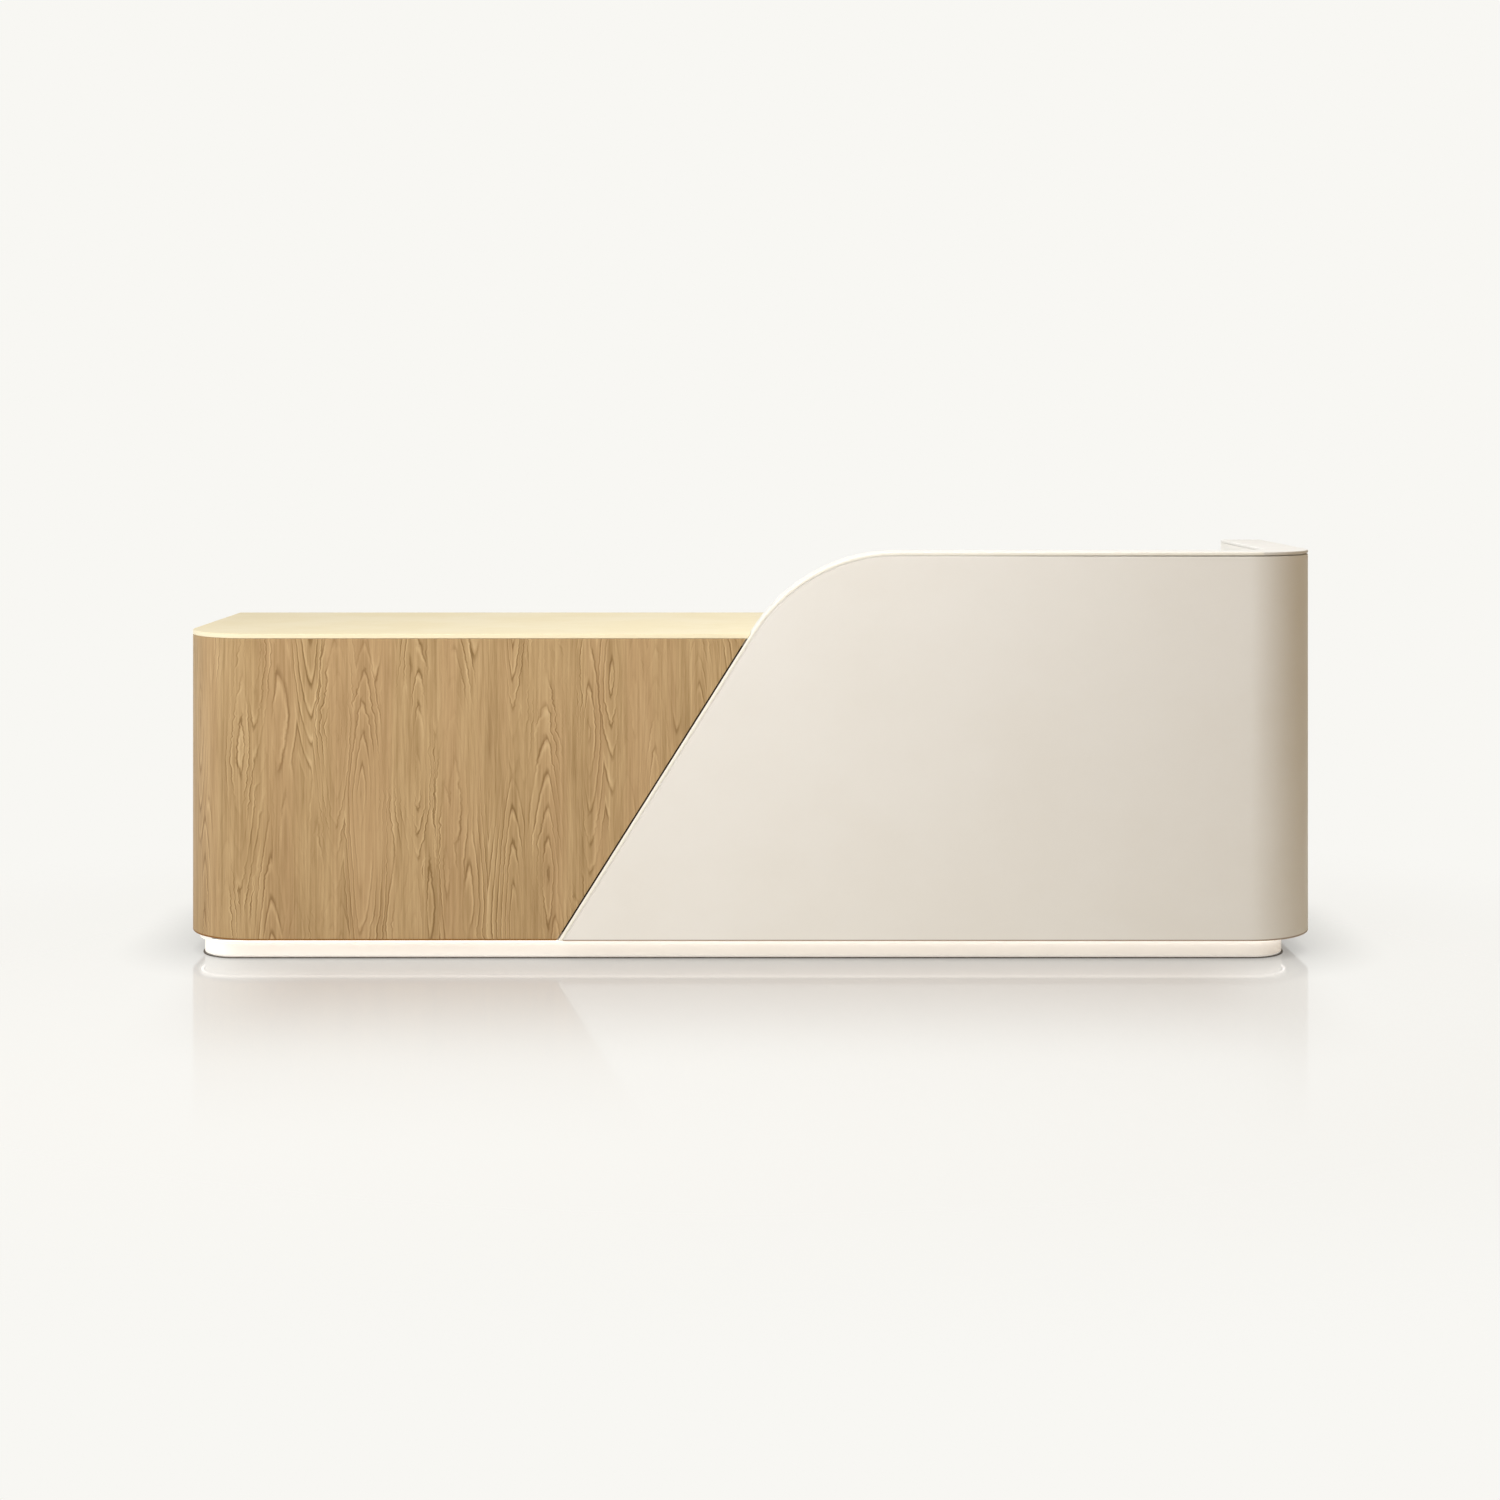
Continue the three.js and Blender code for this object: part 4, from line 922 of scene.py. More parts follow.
def screw_tree() -> bpy.types.NodeTree:
    """Build the tree that sets a cross-recessed screw head on every point.

    Returns:
        The tree, with inputs Radius, Height, Facing and Finish.
    """
    sizes = {"Radius": 0.0035, "Height": 0.001}
    others = [("Facing", "NodeSocketVector"), ("Finish", "NodeSocketMaterial")]
    tree = GrowTree("screw_heads", sizes, others)
    radius, height = tree.inputs["Radius"], tree.inputs["Height"]
    head = tree.add(
        "GeometryNodeMeshCone",
        {"Vertices": 16, "Radius Top": tree.math("MULTIPLY", radius, 0.72), "Radius Bottom": radius, "Depth": height},
    ).outputs["Mesh"]
    long, thin = tree.math("MULTIPLY", radius, 1.05), tree.math("MULTIPLY", radius, 0.24)
    first = tree.add("GeometryNodeMeshCube", {"Size": tree.triple(long, thin, height)}).outputs["Mesh"]
    second = tree.add("GeometryNodeMeshCube", {"Size": tree.triple(thin, long, height)}).outputs["Mesh"]
    lift = tree.triple(0.0, 0.0, tree.math("MULTIPLY", height, 0.75))
    cutters = [tree.moved(bar, Translation=lift) for bar in (first, second)]
    cut = tree.add("GeometryNodeMeshBoolean", operation="DIFFERENCE")
    tree.feed(cut.inputs["Mesh 1"], head)
    for cutter in cutters:
        tree.feed(cut.inputs["Mesh 2"], cutter)
    turn = tree.add("FunctionNodeAlignRotationToVector", {"Vector": tree.inputs["Facing"]}, axis="Z").outputs[0]
    spin = tree.add(
        "FunctionNodeRandomValue", {"Min": (0.0, 0.0, 0.0), "Max": (0.0, 0.0, math.tau), "Seed": 7}, data_type="FLOAT_VECTOR"
    ).outputs[0]
    local = tree.add("FunctionNodeEulerToRotation", {0: spin}).outputs[0]
    rotation = tree.add(
        "FunctionNodeRotateRotation", {"Rotation": turn, "Rotate By": local}, rotation_space="LOCAL"
    ).outputs[0]
    set_out = tree.add(
        "GeometryNodeInstanceOnPoints",
        {"Points": tree.inputs["Geometry"], "Instance": cut.outputs[0], "Rotation": rotation},
    ).outputs[0]
    real = tree.add("GeometryNodeRealizeInstances", {"Geometry": set_out}).outputs[0]
    return tree.close(tree.coated(real, tree.inputs["Finish"]))


def bore_tree() -> bpy.types.NodeTree:
    """Build the tree that sets a row of shelf bores along a board: a dark disc, painted shade for the hole, in a thin
    pressed rim.

    Returns:
        The tree, with inputs Radius, Rim, Proud, Facing, Mouth and Finish.
    """
    sizes = {"Radius": 0.0025, "Rim": 0.0004, "Proud": 0.00012}
    others = [("Facing", "NodeSocketVector"), ("Mouth", "NodeSocketMaterial"), ("Finish", "NodeSocketMaterial")]
    tree = GrowTree("shelf_bores", sizes, others)
    radius, rim, proud = (tree.inputs[key] for key in sizes)
    depth = tree.math("MULTIPLY", proud, 2.0)
    mouth = tree.add("GeometryNodeMeshCylinder", {"Vertices": 14, "Radius": radius, "Depth": depth}).outputs["Mesh"]
    ring = tree.add("GeometryNodeCurvePrimitiveCircle", {"Resolution": 14, "Radius": radius}).outputs[0]
    wire = tree.add("GeometryNodeCurvePrimitiveCircle", {"Resolution": 5, "Radius": rim}).outputs[0]
    collar = tree.add("GeometryNodeCurveToMesh", {"Curve": ring, "Profile Curve": wire}).outputs[0]
    join = tree.add("GeometryNodeJoinGeometry")
    tree.feed(join.inputs[0], tree.coated(mouth, tree.inputs["Mouth"]))
    tree.feed(join.inputs[0], tree.coated(collar, tree.inputs["Finish"]))
    turn = tree.add("FunctionNodeAlignRotationToVector", {"Vector": tree.inputs["Facing"]}, axis="Z").outputs[0]
    set_out = tree.add(
        "GeometryNodeInstanceOnPoints",
        {"Points": tree.inputs["Geometry"], "Instance": join.outputs[0], "Rotation": turn},
    ).outputs[0]
    real = tree.add("GeometryNodeRealizeInstances", {"Geometry": set_out}).outputs[0]
    return tree.close(real)


def rib_tree() -> bpy.types.NodeTree:
    """Build the tree that stands a row of ribs along a line of points.

    Returns:
        The tree, with inputs Length, Height, Thickness and Finish.
    """
    sizes = {"Length": 0.03, "Height": 0.03, "Thickness": 0.002}
    tree = GrowTree("case_ribs", sizes, [("Finish", "NodeSocketMaterial")])
    size = tree.triple(tree.inputs["Thickness"], tree.inputs["Length"], tree.inputs["Height"])
    rib = tree.add("GeometryNodeMeshCube", {"Size": size}).outputs["Mesh"]
    set_out = tree.add(
        "GeometryNodeInstanceOnPoints", {"Points": tree.inputs["Geometry"], "Instance": rib}
    ).outputs[0]
    real = tree.add("GeometryNodeRealizeInstances", {"Geometry": set_out}).outputs[0]
    return tree.close(tree.coated(real, tree.inputs["Finish"]))


@dataclass
class Trees:
    """The geometry trees that the sub-assemblies share."""

    strip: bpy.types.NodeTree = field(default_factory=strip_tree)
    screw: bpy.types.NodeTree = field(default_factory=screw_tree)
    bore: bpy.types.NodeTree = field(default_factory=bore_tree)
    rib: bpy.types.NodeTree = field(default_factory=rib_tree)


@dataclass
class SubAssembly:
    """What every sub-assembly works with."""

    shop: Workshop
    trees: Trees

    def screws(self, name: str, body: Body, facing: Axis, points: Sequence[Vector], radius: float = 3.6 * MM) -> None:
        """Drive a set of screws.

        Args:
            name: The set's name.
            body: The body that they are driven into.
            facing: Where their heads look.
            points: The middles of the heads' undersides.
            radius: The heads' radius.
        """
        inputs = {
            "Radius": radius,
            "Height": 1.1 * MM,
            "Facing": facing.value,
            "Finish": self.shop.finishes.screw,
        }
        obj = self.shop.grown(self.trees.screw, name, points, [], inputs)
        self.shop.settle(obj, body, Slot.STEEL)

    def strip(
        self, name: str, path: Sequence[Vector], size: Sequence[float], slot: Slot, material: bpy.types.Material
    ) -> None:
        """Run a thin strip along a path on the carcass.

        Args:
            name: The strip's name.
            path: The middle of the strip.
            size: Its width, its thickness and the round of its edges.
            slot: Not used.
            material: Its finish.
        """
        inputs = {"Width": size[0], "Thickness": size[1], "Round": size[2], "Finish": material}
        edges = [(step, step + 1) for step in range(len(path) - 1)]
        obj = self.shop.grown(self.trees.strip, name, path, edges, inputs)
        self.shop.settle(obj, Body.CARCASS, slot)


@dataclass
class Plinth(SubAssembly):
    """The recessed plinth, and the light strip that washes it from under the overhang."""

    radius: float = 0.09  # the plinth's corners
    lip_turn: float = math.radians(33)  # how far the lit lip follows the corners
    lip_steps: int = 12
    lip_thickness: float = 0.7 * MM  # the cover's lip on the front of the channel
    lip_height: float = 3.8 * MM
    shade_strip_thickness: float = 4.6 * MM  # the dark strip on the floor at the plinth's foot: painted shade for the contact shadow
    shade_strip_height: float = 2.0 * MM
    easing: Softening = field(default_factory=lambda: Softening(0.8 * MM, 2))

    def bend(self, first: float, last: float, side: Axis, out: float, height: float) -> List[Vector]:
        """Follow the plinth round one of its front corners.

        Args:
            first: The angle from the front where the path starts.
            last: The angle where it ends.
            side: MINUS_X for the left corner, X for the right one.
            out: How far outside the plinth the path runs.
            height: The path's height over the floor.

        Returns:
            The points of the path.
        """
        low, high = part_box("plinth_skirt")
        radius = self.radius + out
        outer = high.x + out if side is Axis.X else low.x - out
        centre = Vector((outer - side.value[0] * radius, low.y - out + radius, height))
        turns = [first + (last - first) * step / self.lip_steps for step in range(self.lip_steps + 1)]
        return [
            centre + radius * Vector((side.value[0] * math.sin(turn), -math.cos(turn), 0.0)) for turn in turns
        ]

    def build(self) -> None:
        """Build and dress the plinth's boards and the light strip."""
        for node in ("plinth_skirt", "plinth_back_board", "plinth_mid_board"):
            self.shop.eased(node, Body.CARCASS, Slot.PLINTH, self.easing)
        self.shop.dress(["led_channel"], Slot.ALUMINIUM)
        self.shop.dress(["led_diffuser"], Slot.OPAL)
        self.cover()
        self.shade_strip()

    def cover(self) -> None:
        """Put the light strip's cover on the front of its channel: lit along the front, plain at both ends."""
        finishes = self.shop.finishes
        low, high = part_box("led_channel")
        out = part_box("plinth_skirt")[0].y - low.y + self.lip_thickness / 2
        at = low.z + self.lip_height / 2
        lit = self.bend(self.lip_turn, 0.0, Axis.MINUS_X, out, at) + self.bend(0.0, self.lip_turn, Axis.X, out, at)
        size = (self.lip_thickness, self.lip_height, 0.2 * MM)
        self.strip("led_cover_lip", lit, size, Slot.OPAL, finishes.opal_lip)
        end_size = (self.lip_thickness, 2 * (high.z - at) - 0.4 * MM, 0.2 * MM)
        for name, side in (("left", Axis.MINUS_X), ("right", Axis.X)):
            path = self.bend(self.lip_turn, math.pi / 2, side, out, (high.z + at) / 2)
            path.append(Vector((path[-1].x, high.y - 1.0 * MM, path[-1].z)))
            self.strip("led_cover_end_" + name, path, end_size, Slot.PLINTH, finishes[Slot.PLINTH])

    def shade_strip(self) -> None:
        """Run a dark strip on the floor round the plinth's foot: painted shade for the contact shadow."""
        turn, out, at = math.pi / 2, self.shade_strip_thickness * 0.4, self.shade_strip_height / 2 + 0.1 * MM
        path = self.bend(turn, 0.0, Axis.MINUS_X, out, at) + self.bend(0.0, turn, Axis.X, out, at)
        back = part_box("plinth_skirt")[1].y - 2.0 * MM
        ends = [Vector((end.x, back, end.z)) for end in (path[0], path[-1])]
        size = (self.shade_strip_thickness, self.shade_strip_height, 0.2 * MM)
        self.strip("floor_shade_strip", [ends[0], *path, ends[1]], size, Slot.PLASTIC, self.shop.finishes.shade_strip)


@dataclass
class Cabinet(SubAssembly):
    """The low cabinet: its oak skin, its slab and the carcass boards, with the cupboard's fittings."""

    left: float = -1.4
    face: float = -0.34  # the oak's front
    radius: float = 0.18  # the oak's corner
    board_easing: Softening = field(default_factory=lambda: Softening(0.7 * MM, 2))
    oak_easing: Softening = field(default_factory=lambda: Softening(1.0 * MM, 3))
    slab_easing: Softening = field(default_factory=lambda: Softening(2.0 * MM, 4))
    bore_pitch: float = 32 * MM
    bore_rows: Tuple[float, float] = (-0.10, 0.24)  # from front to back, in y
    bore_reach: Tuple[float, float] = (0.15, 0.70)  # from low to high
    shelf_zone: Tuple[float, float] = (0.37, 0.45)  # no bores here, where the fixed shelf stands

    def unrolled(self, point: Vector) -> Vector:
        """Lay a point of the bent oak skin flat.

        Args:
            point: The point on the skin.

        Returns:
            Its place along the sheet, its depth in the sheet and its height.
        """
        bend = Vector((self.left + self.radius, self.face + self.radius))
        if point.x >= bend.x:
            return Vector((point.x, point.y - self.face, point.z))
        quarter = self.radius * math.pi / 2
        if point.y >= bend.y:
            return Vector((bend.x - quarter - (point.y - bend.y), point.x - self.left, point.z))
        out = Vector((bend.x - point.x, bend.y - point.y))
        turn = math.atan2(out.x, out.y)
        return Vector((bend.x - self.radius * turn, self.radius - out.length, point.z))

    def bores(self, name: str, x: float, facing: Axis) -> None:
        """Set two upright rows of shelf bores in a board's face.

        Args:
            name: The rows' name.
            x: The board's face.
            facing: Where the face looks.
        """
        low, high = self.bore_reach
        count = int((high - low) / self.bore_pitch) + 1
        heights = [low + step * self.bore_pitch for step in range(count)]
        points = [
            Vector((x, y, z))
            for y in self.bore_rows
            for z in heights
            if not self.shelf_zone[0] < z < self.shelf_zone[1]
        ]
        inputs = {
            "Radius": 2.5 * MM,
            "Rim": 0.35 * MM,
            "Proud": 0.12 * MM,
            "Facing": facing.value,
            "Mouth": self.shop.finishes.bore,
            "Finish": self.shop.finishes.cap,
        }
        obj = self.shop.grown(self.trees.bore, name, points, [], inputs)
        self.shop.settle(obj, Body.CARCASS, Slot.BOARD)

    def build(self) -> None:
        """Build and dress the cabinet."""
        shop = self.shop
        shop.eased("oak_cladding", Body.CARCASS, Slot.OAK, self.oak_easing, self.unrolled)
        shop.eased("counter_slab", Body.CARCASS, Slot.SLAB, self.slab_easing)
        boards = (
            "cabinet_deck",
            "cabinet_sub_top",
            "cabinet_left_side",
            "cabinet_right_side",
            "cabinet_partition",
            "cupboard_shelf",
        )
        for node in boards:
            shop.eased(node, Body.CARCASS, Slot.BOARD, self.board_easing)
        # this board shows only in the shadow gaps; its dark finish is partly painted shade
        shop.eased("cabinet_front_board", Body.CARCASS, Slot.DARK, self.board_easing)
        self.bores("cupboard_bores_left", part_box("cabinet_left_side")[1].x, Axis.X)
        self.bores("cupboard_bores_right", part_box("cabinet_partition")[0].x, Axis.MINUS_X)


class Side(Enum):
    """Which door of the cupboard."""

    LEFT = "left"
    RIGHT = "right"


@dataclass
class Door(SubAssembly):
    """One door of the cupboard, with its bow handle and pivots."""

    side: Side = Side.LEFT
    sheet_shift: float = 0.0  # where its veneer was cut from the sheet
    easing: Softening = field(default_factory=lambda: Softening(1.0 * MM, 3))
    handle_easing: Softening = field(default_factory=lambda: Softening(2.6 * MM, 4))
    screw_inset: float = 5 * MM  # from the handle's ends

    def build(self) -> None:
        """Build and dress the door."""
        shop = self.shop
        name = "door_" + self.side.value
        body = Body.DOOR_LEFT if self.side is Side.LEFT else Body.DOOR_RIGHT

        def flat(point: Vector) -> Vector:
            """Where a point of the door lies on its sheet of veneer."""
            return Vector((point.x + self.sheet_shift, point.y, point.z))

        shop.eased(name, body, Slot.OAK, self.easing, flat)
        handle = name + "_handle"
        shop.eased(handle, body, Slot.ALUMINIUM, self.handle_easing, None, shop.finishes.upright_aluminium)
        low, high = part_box(handle)
        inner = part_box(name)[0].y
        middle = (low.x + high.x) / 2
        heights = (low.z + self.screw_inset, high.z - self.screw_inset)
        points = [Vector((middle, inner, z)) for z in heights]
        self.screws(name + "_handle_screws", body, Axis.MINUS_Y, points, 4.0 * MM)
        shop.dress([f"{name}_pivot_lower", f"{name}_pivot_upper"], Slot.STEEL)


class Tier(Enum):
    """Which drawer of the stack."""

    BOTTOM = "bottom"
    MIDDLE = "middle"
    TOP = "top"


@dataclass
class Drawer(SubAssembly):
    """One drawer, with its front, box, handle and runners."""

    tier: Tier = Tier.TOP
    sheet_shift: float = 0.0
    easing: Softening = field(default_factory=lambda: Softening(1.0 * MM, 3))
    box_easing: Softening = field(default_factory=lambda: Softening(0.8 * MM, 2))
    handle_easing: Softening = field(default_factory=lambda: Softening(2.6 * MM, 4))
    screw_stations: Sequence[float] = (-0.12, 0.02, 0.16, 0.27)  # along a runner, in y

    def build(self) -> None:
        """Build and dress the drawer."""
        shop = self.shop
        name = "drawer_" + self.tier.value
        body = Body(name)

        def flat(point: Vector) -> Vector:
            """Where a point of the front lies on its sheet of veneer."""
            return Vector((point.x + self.sheet_shift, point.y, point.z))

        shop.eased(name + "_front", body, Slot.OAK, self.easing, flat)
        shop.eased(name + "_box", body, Slot.BOARD, self.box_easing)
        shop.eased(name + "_handle", body, Slot.ALUMINIUM, self.handle_easing)
        sides = ("left", "right")
        shop.dress([f"{name}_rail_{side}" for side in sides], Slot.STEEL)
        shop.dress([f"{name}_slide_{side}" for side in sides], Slot.STEEL)


@dataclass
class ScreenWall(SubAssembly):
    """The cream screen wall with its capping strip, its lining and what stands inside it."""

    slope_angle: float = math.radians(57.85)
    arc_centre: Tuple[float, float] = (0.36015, 0.58)  # of the sweep, in x and z
    arc_radius: float = 0.42
    arc_steps: int = 40
    corner_radius: float = 0.18  # the wall's corner, in plan
    face: float = -0.35  # the wall's front
    end: float = 1.4  # the wall's right end
    return_end: float = 0.3315
    foot: float = 0.0515  # where the groove starts above the floor
    cap_thickness: float = 8 * MM
    groove: float = 3 * MM
    sweep_groove_depth: float = 0.2 * MM  # the groove's floor behind the wall's face, on the sweep
    top_groove_depth: float = 9.0 * MM  # and at the right end of the level top
    filler_width: float = 18 * MM
    easing: Softening = field(default_factory=lambda: Softening(1.2 * MM, 3))
    lining_easing: Softening = field(default_factory=lambda: Softening(0.9 * MM, 2))
    cap_easing: Softening = field(default_factory=lambda: Softening(2.2 * MM, 4))
    stud_easing: Softening = field(default_factory=lambda: Softening(2.0 * MM, 3))

    def sweep_path(self, inset: float, depth: float) -> List[Vector]:
        """Follow the sweep up the slope and over the arc.

        Args:
            inset: How far the path lies inside the capping's outer face.
            depth: How far it lies behind the wall's outer face.

        Returns:
            The points of the path.
        """
        radius = self.arc_radius - inset
        x, z = self.arc_centre

        def on_arc(lean: float) -> Vector:
            """The point of the arc where it leans back by an angle from its top."""
            return Vector((x - radius * math.sin(lean), self.face + depth, z + radius * math.cos(lean)))

        start = on_arc(self.slope_angle)
        rise = start.z - self.foot
        shares = [step / self.arc_steps for step in range(self.arc_steps + 1)]
        foot = start - Vector((rise / math.tan(self.slope_angle), 0.0, rise))
        return [foot] + [on_arc(self.slope_angle * (1 - share)) for share in shares]

    def top_path(self, inset: float, depth: float) -> List[Vector]:
        """Follow the level top from the end of the arc, ever deeper, round the corner to the return's end.

        Args:
            inset: How far the path lies inside the capping's outer face.
            depth: How far it lies behind the wall's outer face, from the corner on.

        Returns:
            The points of the path.
        """
        z = self.arc_centre[1] + self.arc_radius - inset
        centre = Vector((self.end - self.corner_radius, self.face + self.corner_radius, z))
        radius = self.corner_radius - depth
        turns = [math.pi / 2 * step / self.arc_steps for step in range(self.arc_steps + 1)]
        first = self.face + self.sweep_groove_depth + self.filler_width / 2
        points = [Vector((self.arc_centre[0] + 0.5 * MM, first, z))]
        points += [centre + radius * Vector((math.sin(turn), -math.cos(turn), 0.0)) for turn in turns]
        return points + [Vector((self.end - depth, self.return_end, z))]

    def build(self) -> None:
        """Build and dress the wall."""
        shop = self.shop
        shop.eased("screen_cladding", Body.CARCASS, Slot.LACQUER, self.easing)
        shop.eased("sweep_capping", Body.CARCASS, Slot.LACQUER, self.cap_easing, None, shop.finishes.capping)
        inset, half = self.cap_thickness + self.groove / 2, self.filler_width / 2
        sweep = self.sweep_path(inset, self.sweep_groove_depth + half)
        top = self.top_path(inset, self.top_groove_depth + half)
        size = (self.filler_width, self.groove - 0.4 * MM, 0.2 * MM)
        for name, path in (("sweep_groove_filler", sweep), ("top_groove_filler", top)):
            self.strip(name, path, size, Slot.LACQUER, shop.finishes[Slot.LACQUER])
        for node in ("screen_lining", "return_end_cap"):
            shop.eased(node, Body.CARCASS, Slot.LACQUER, self.lining_easing)
        shop.eased("wall_sole_plate", Body.CARCASS, Slot.BOARD, self.lining_easing)
        for node in ("wall_stud_1", "wall_stud_2", "wall_stud_3"):
            shop.eased(node, Body.CARCASS, Slot.TIMBER, self.stud_easing, None, shop.finishes.upright_timber)


@dataclass
class Worktop(SubAssembly):
    """The receptionist's worktop on its battens, with the cable liner."""

    easing: Softening = field(default_factory=lambda: Softening(1.5 * MM, 3))
    batten_easing: Softening = field(default_factory=lambda: Softening(1.5 * MM, 3))
    liner_easing: Softening = field(default_factory=lambda: Softening(0.8 * MM, 2, 2.0 * MM))
    screw_pitch: float = 0.2
    screw_inset: float = 0.04

    def stations(self, low: float, high: float) -> List[float]:
        """Set screws out evenly along a batten.

        Args:
            low: Where the batten starts.
            high: Where it ends.

        Returns:
            The screws' places along it.
        """
        run = high - low - 2 * self.screw_inset
        count = max(2, round(run / self.screw_pitch) + 1)
        return [low + self.screw_inset + run * step / (count - 1) for step in range(count)]

    def build(self) -> None:
        """Build and dress the worktop."""
        shop = self.shop
        shop.eased("worktop", Body.CARCASS, Slot.LAMINATE, self.easing)
        shop.eased("grommet_liner", Body.CARCASS, Slot.PLASTIC, self.liner_easing)
        shop.eased("worktop_ledger", Body.CARCASS, Slot.TIMBER, self.batten_easing)
        low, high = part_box("worktop_ledger")
        middle = (low.z + high.z) / 2
        points = [Vector((x, high.y, middle)) for x in self.stations(low.x, high.x)]
        self.screws("worktop_ledger_screws", Body.CARCASS, Axis.Y, points)
        for side, facing in (("left", Axis.X), ("right", Axis.MINUS_X)):
            node = "worktop_cleat_" + side
            shop.eased(node, Body.CARCASS, Slot.TIMBER, self.batten_easing, None, shop.finishes.cross_timber)
            low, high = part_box(node)
            face = high.x if facing is Axis.X else low.x
            points = [Vector((face, y, middle)) for y in self.stations(low.y, high.y)]
            self.screws(node + "_screws", Body.CARCASS, facing, points)


@dataclass
class LightControls(SubAssembly):
    """The light's driver in the cupboard and its rocker switch in the wall."""

    easing: Softening = field(default_factory=lambda: Softening(0.6 * MM, 2, 1.0 * MM))
    case_easing: Softening = field(default_factory=lambda: Softening(2.0 * MM, 3))
    rib_count: int = 15
    rib_margin: float = 0.03  # bare case at each end

    def build(self) -> None:
        """Build and dress the driver and the switch."""
        shop = self.shop
        shop.eased("switch_housing", Body.CARCASS, Slot.PLASTIC, self.easing)
        shop.eased("switch_rocker", Body.ROCKER, Slot.PLASTIC, self.easing)
        shop.eased("led_driver", Body.CARCASS, Slot.PLASTIC, self.case_easing)
        low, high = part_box("led_driver")
        middle = (low + high) / 2
        run = high.x - low.x - 2 * self.rib_margin
        steps = [low.x + self.rib_margin + run * step / (self.rib_count - 1) for step in range(self.rib_count)]
        points = [Vector((x, high.y, middle.z)) for x in steps]
        inputs = {
            "Length": 2.0 * MM,
            "Height": (high.z - low.z) * 0.74,
            "Thickness": 2.2 * MM,
            "Finish": shop.finishes[Slot.PLASTIC],
        }
        obj = shop.grown(self.trees.rib, "led_driver_ribs", points, [], inputs)
        shop.settle(obj, Body.CARCASS, Slot.PLASTIC)


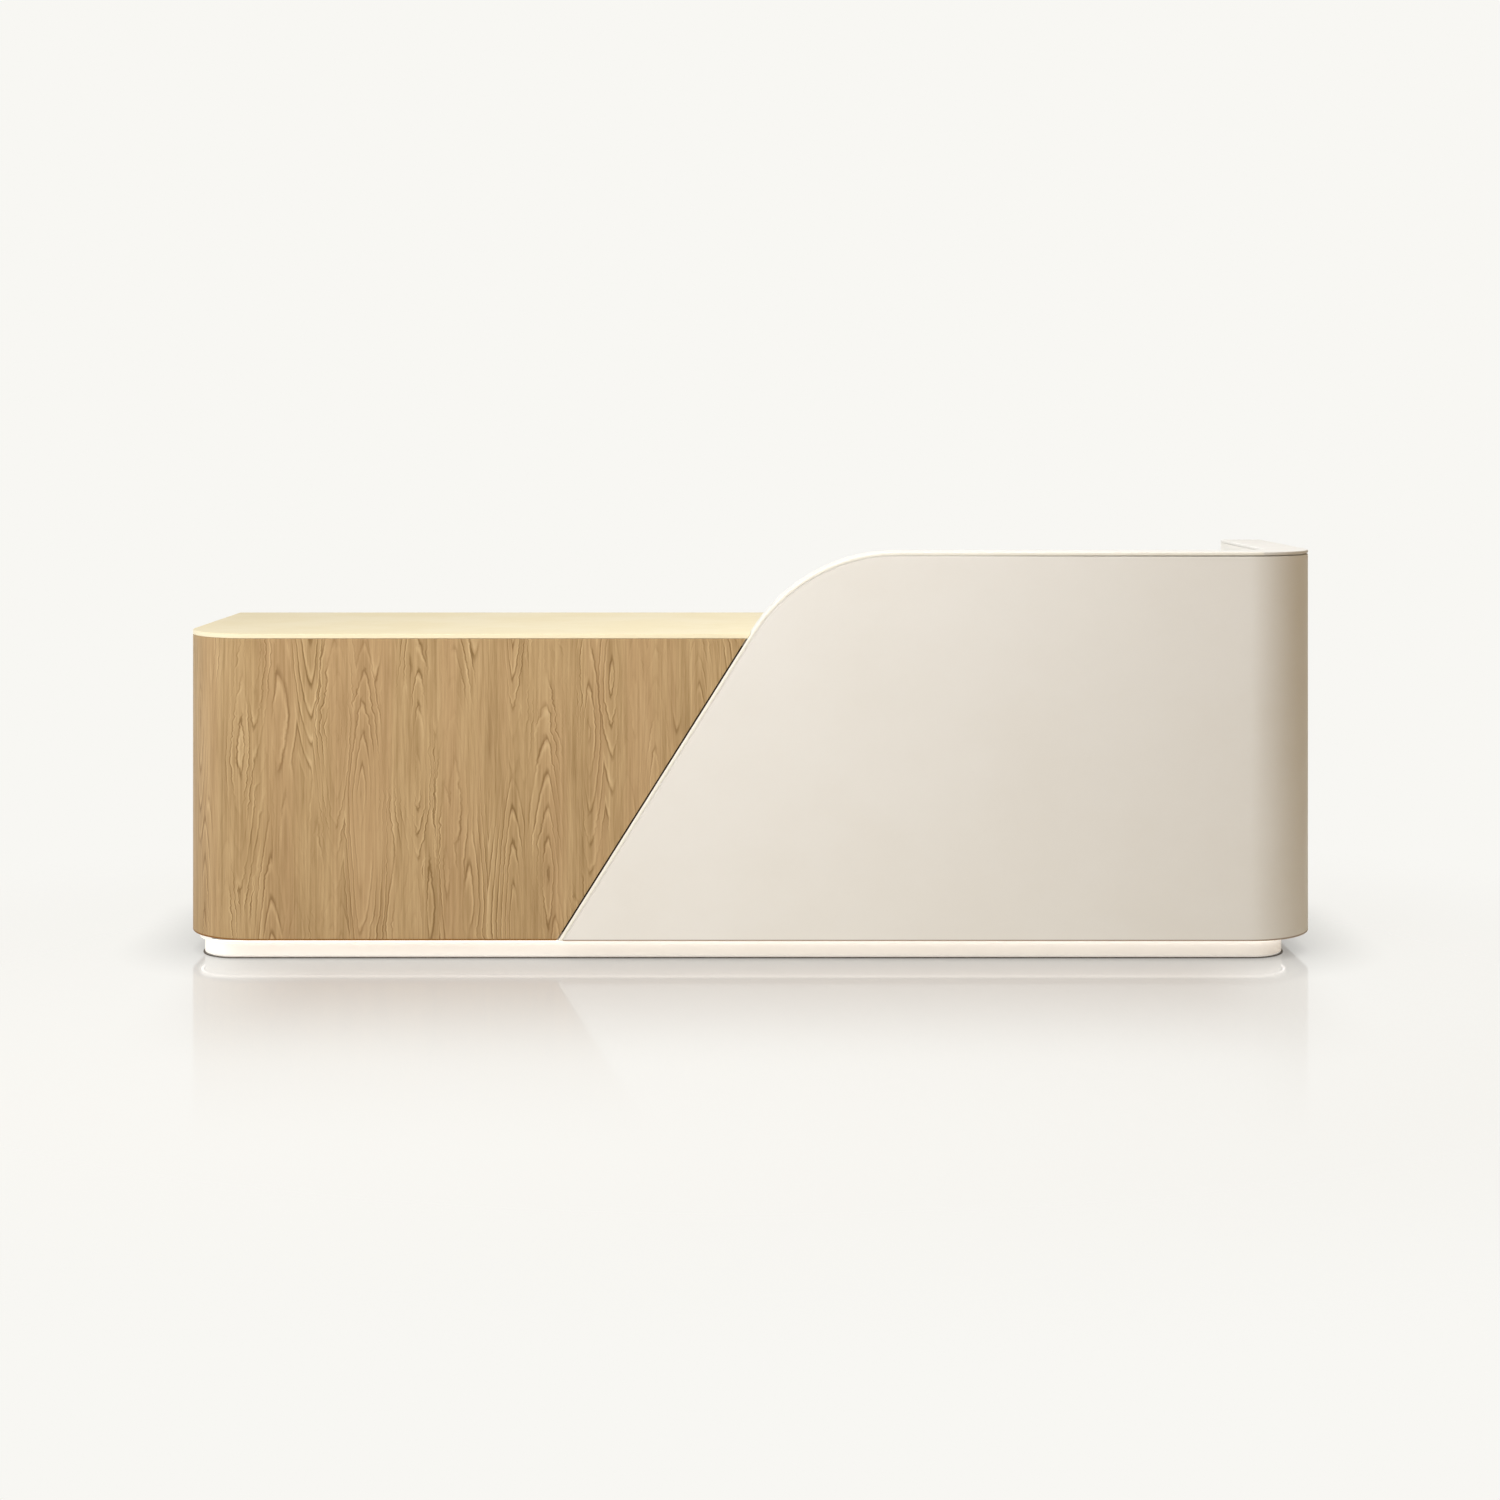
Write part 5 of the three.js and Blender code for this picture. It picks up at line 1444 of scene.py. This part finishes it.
@dataclass
class Studio:
    """The pale floor, the soft light and the camera."""

    background: Colour = paint(248, 247, 243)
    floor_colour: Colour = paint(236, 235, 231)
    floor_bounce: Colour = paint(222, 218, 210)  # the floor as the desk sees it
    glow_share: float = 0.88  # how much of the floor's tone is the plain background
    shade_reach: float = 0.21  # how far the desk's shade spreads on the floor
    shade_share: float = 0.68  # how dark that shade is
    left_light: Colour = (0.7, 0.7, 0.695, 1.0)  # the room's even light, from the left
    right_light: Colour = (0.275, 0.153, 0.01, 1.0)  # and from the right
    floor_reach: float = 12.0
    floor_middle: Tuple[float, float] = (0.0, -0.6)  # the lit patch of floor round the desk
    floor_half: Tuple[float, float] = (2.0, 1.5)
    front_shade: Colour = paint(220, 214, 211)  # the softer shade in front of the desk
    front_reach: Tuple[float, float] = (-1.32, -0.35)  # in y: from where it starts to where it is darkest
    front_foot: Tuple[float, float] = (-0.3, -0.5)  # in y: nearer than this it gives way to the close shade
    front_half: Tuple[float, float] = (1.0, 1.4)  # in x: where it fades out, left and right
    mirror_share: float = 0.21  # how much the floor mirrors in front of the desk
    mirror_reach: Tuple[float, float] = (-1.9, -0.2)  # in y: from where it starts to its full strength
    camera_place: Tuple[float, float, float] = (0.0, -5.95, 1.2768)
    lens: float = 55.08
    shift_y: float = -0.2075

    def floor_tone(self, coat: Coat, parts: Sequence[Socket]) -> Socket:
        """Mix the floor's tone: partly the plain background with the desk's shade, partly lit colour.

        Args:
            coat: The floor's nodes.
            parts: The place on the floor, as its x, y and z.

        Returns:
            The socket with the floor's own shader.
        """
        seen = coat.add("ShaderNodeLightPath").outputs["Is Camera Ray"]
        coat.feed(coat.shader.inputs["Base Color"], coat.mixed(seen, self.floor_bounce, self.floor_colour))
        shade = coat.add("ShaderNodeAmbientOcclusion", {"Distance": self.shade_reach}, samples=24)
        coat.feed(shade.inputs["Color"], self.background)
        tone = coat.mixed(self.shade_share, self.background, shade.outputs["Color"])
        front = coat.band(coat.math("ABSOLUTE", parts[0]), *self.front_half, 1.0, 0.0)
        front = coat.math("MULTIPLY", front, coat.band(parts[1], *self.front_reach))
        front = coat.math("MULTIPLY", front, coat.band(parts[1], *self.front_foot, 0.3, 1.0))
        tone = coat.mixed(front, tone, self.front_shade, "MULTIPLY")
        plain = coat.add("ShaderNodeEmission", {"Color": tone, "Strength": 1.0})
        share = coat.math("MULTIPLY", seen, self.glow_share)
        mix = coat.add("ShaderNodeMixShader", {0: share, 1: coat.shader.outputs[0], 2: plain.outputs[0]})
        return mix.outputs[0]

    def floor(self) -> None:
        """Lay the floor: it keeps the desk's shadow, mirrors it a little and melts into the background."""
        mesh = bmesh.new()
        bmesh.ops.create_grid(mesh, x_segments=1, y_segments=1, size=self.floor_reach)
        data = bpy.data.meshes.new("studio_floor")
        mesh.to_mesh(data)
        mesh.free()
        coat = Coat("studio_floor", 0.6, Specular_IOR_Level=0.0)
        parts = coat.add("ShaderNodeSeparateXYZ", {0: coat.place()}).outputs
        spans = []
        for part, middle, half in zip(parts, self.floor_middle, self.floor_half):
            span = coat.math("DIVIDE", coat.math("SUBTRACT", part, middle), half)
            spans.append(coat.math("MULTIPLY", span, span))
        away = coat.math("SQRT", coat.math("ADD", *spans))
        melted = coat.band(away, 0.85, 1.5)
        share = coat.band(parts[1], *self.mirror_reach, 0.0, self.mirror_share)
        mirror = coat.add("ShaderNodeBsdfGlossy", {"Roughness": 0.08, "Color": (1.0, 1.0, 1.0, 1.0)})
        tone = self.floor_tone(coat, parts)
        surface = coat.add("ShaderNodeMixShader", {0: share, 1: tone, 2: mirror.outputs[0]})
        clear = coat.add("ShaderNodeBsdfTransparent")
        shown = coat.add("ShaderNodeMixShader", {0: melted, 1: surface.outputs[0], 2: clear.outputs[0]})
        coat.feed(coat.output.inputs["Surface"], shown.outputs[0])
        data.materials.append(coat.material)
        obj = bpy.data.objects.new("studio_floor", data)
        bpy.context.scene.collection.objects.link(obj)

    def world(self) -> None:
        """Set a plain pale background and an even light from all round, weaker and warmer from the right."""
        world = bpy.data.worlds.new("studio")
        world.use_nodes = True
        bpy.context.scene.world = world
        graph = Graph(world.node_tree)
        graph.tree.nodes.clear()
        way = graph.add("ShaderNodeTexCoord").outputs["Generated"]
        side = graph.math("MULTIPLY_ADD", graph.add("ShaderNodeSeparateXYZ", {0: way}).outputs[0], 0.5, 0.5)
        room = graph.add("ShaderNodeMix", {0: side, 6: self.left_light, 7: self.right_light}, data_type="RGBA")
        light = graph.add("ShaderNodeBackground", {"Color": room.outputs[2], "Strength": 1.0})
        seen = graph.add("ShaderNodeBackground", {"Color": self.background, "Strength": 1.0})
        path = graph.add("ShaderNodeLightPath").outputs
        looks = graph.math("MAXIMUM", path["Is Camera Ray"], path["Is Glossy Ray"])
        looks = graph.math("MAXIMUM", looks, path["Is Transmission Ray"])
        mix = graph.add("ShaderNodeMixShader", {0: looks, 1: light.outputs[0], 2: seen.outputs[0]})
        graph.add("ShaderNodeOutputWorld", {"Surface": mix.outputs[0]})

    def lamp(self, name: str, place: Sequence[float], aim: Sequence[float], size: float, power: float) -> None:
        """Hang a soft lamp that shows neither itself nor a hot spot.

        Args:
            name: The lamp's name.
            place: Where it hangs.
            aim: What it points at.
            size: The side of its square face.
            power: Its power in watts.
        """
        data = bpy.data.lights.new(name, "AREA")
        data.shape, data.size, data.energy = "SQUARE", size, power
        data.color = (0.99, 0.995, 1.0)
        obj = bpy.data.objects.new(name, data)
        way = Vector(aim) - Vector(place)
        obj.matrix_world = Matrix.Translation(Vector(place)) @ way.to_track_quat("-Z", "Y").to_matrix().to_4x4()
        obj.visible_camera = obj.visible_glossy = False
        bpy.context.scene.collection.objects.link(obj)

    def camera(self) -> None:
        """Stand the camera where the photograph was taken from."""
        data = bpy.data.cameras.new("photo_camera")
        data.lens, data.sensor_width, data.shift_y = self.lens, 36.0, self.shift_y
        data.clip_end = 60.0
        obj = bpy.data.objects.new("photo_camera", data)
        obj.location = self.camera_place
        obj.rotation_euler = (math.pi / 2, 0.0, 0.0)
        bpy.context.scene.collection.objects.link(obj)
        bpy.context.scene.camera = obj

    def build(self) -> None:
        """Set up the whole studio."""
        bpy.context.scene.view_settings.view_transform = "Standard"
        self.camera()
        self.floor()
        self.world()
        self.lamp("key_light", (-1.0, -2.15, 2.45), (-0.2, -0.35, 0.6), 1.8, 42.0)
        self.lamp("left_light", (-3.5, -1.7, 1.5), (-1.3, -0.1, 0.45), 1.8, 27.0)
        self.lamp("top_light", (0.6, -0.85, 2.7), (0.6, -0.5, 0.4), 1.3, 14.0)
        self.lamp("end_light", (1.3, 0.1, 2.9), (1.3, 0.05, 0.0), 0.9, 10.0)
        self.lamp("back_light", (0.2, 3.6, 1.8), (0.0, 0.3, 0.5), 2.4, 36.0)


def main() -> None:
    """Build the desk and its studio."""
    logging.basicConfig(level=logging.INFO, format="%(name)s: %(message)s")
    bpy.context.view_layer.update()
    Studio().build()
    shop = Workshop(Finishes())
    trees = Trees()
    Plinth(shop, trees).build()
    Cabinet(shop, trees).build()
    Door(shop, trees, Side.LEFT, 3.1).build()
    Door(shop, trees, Side.RIGHT, 5.3).build()
    for tier in Tier:
        Drawer(shop, trees, tier, 7.2).build()
    ScreenWall(shop, trees).build()
    Worktop(shop, trees).build()
    LightControls(shop, trees).build()
    LOG.info("%d pieces", shop.made)


if __name__ == "__main__":
    main()
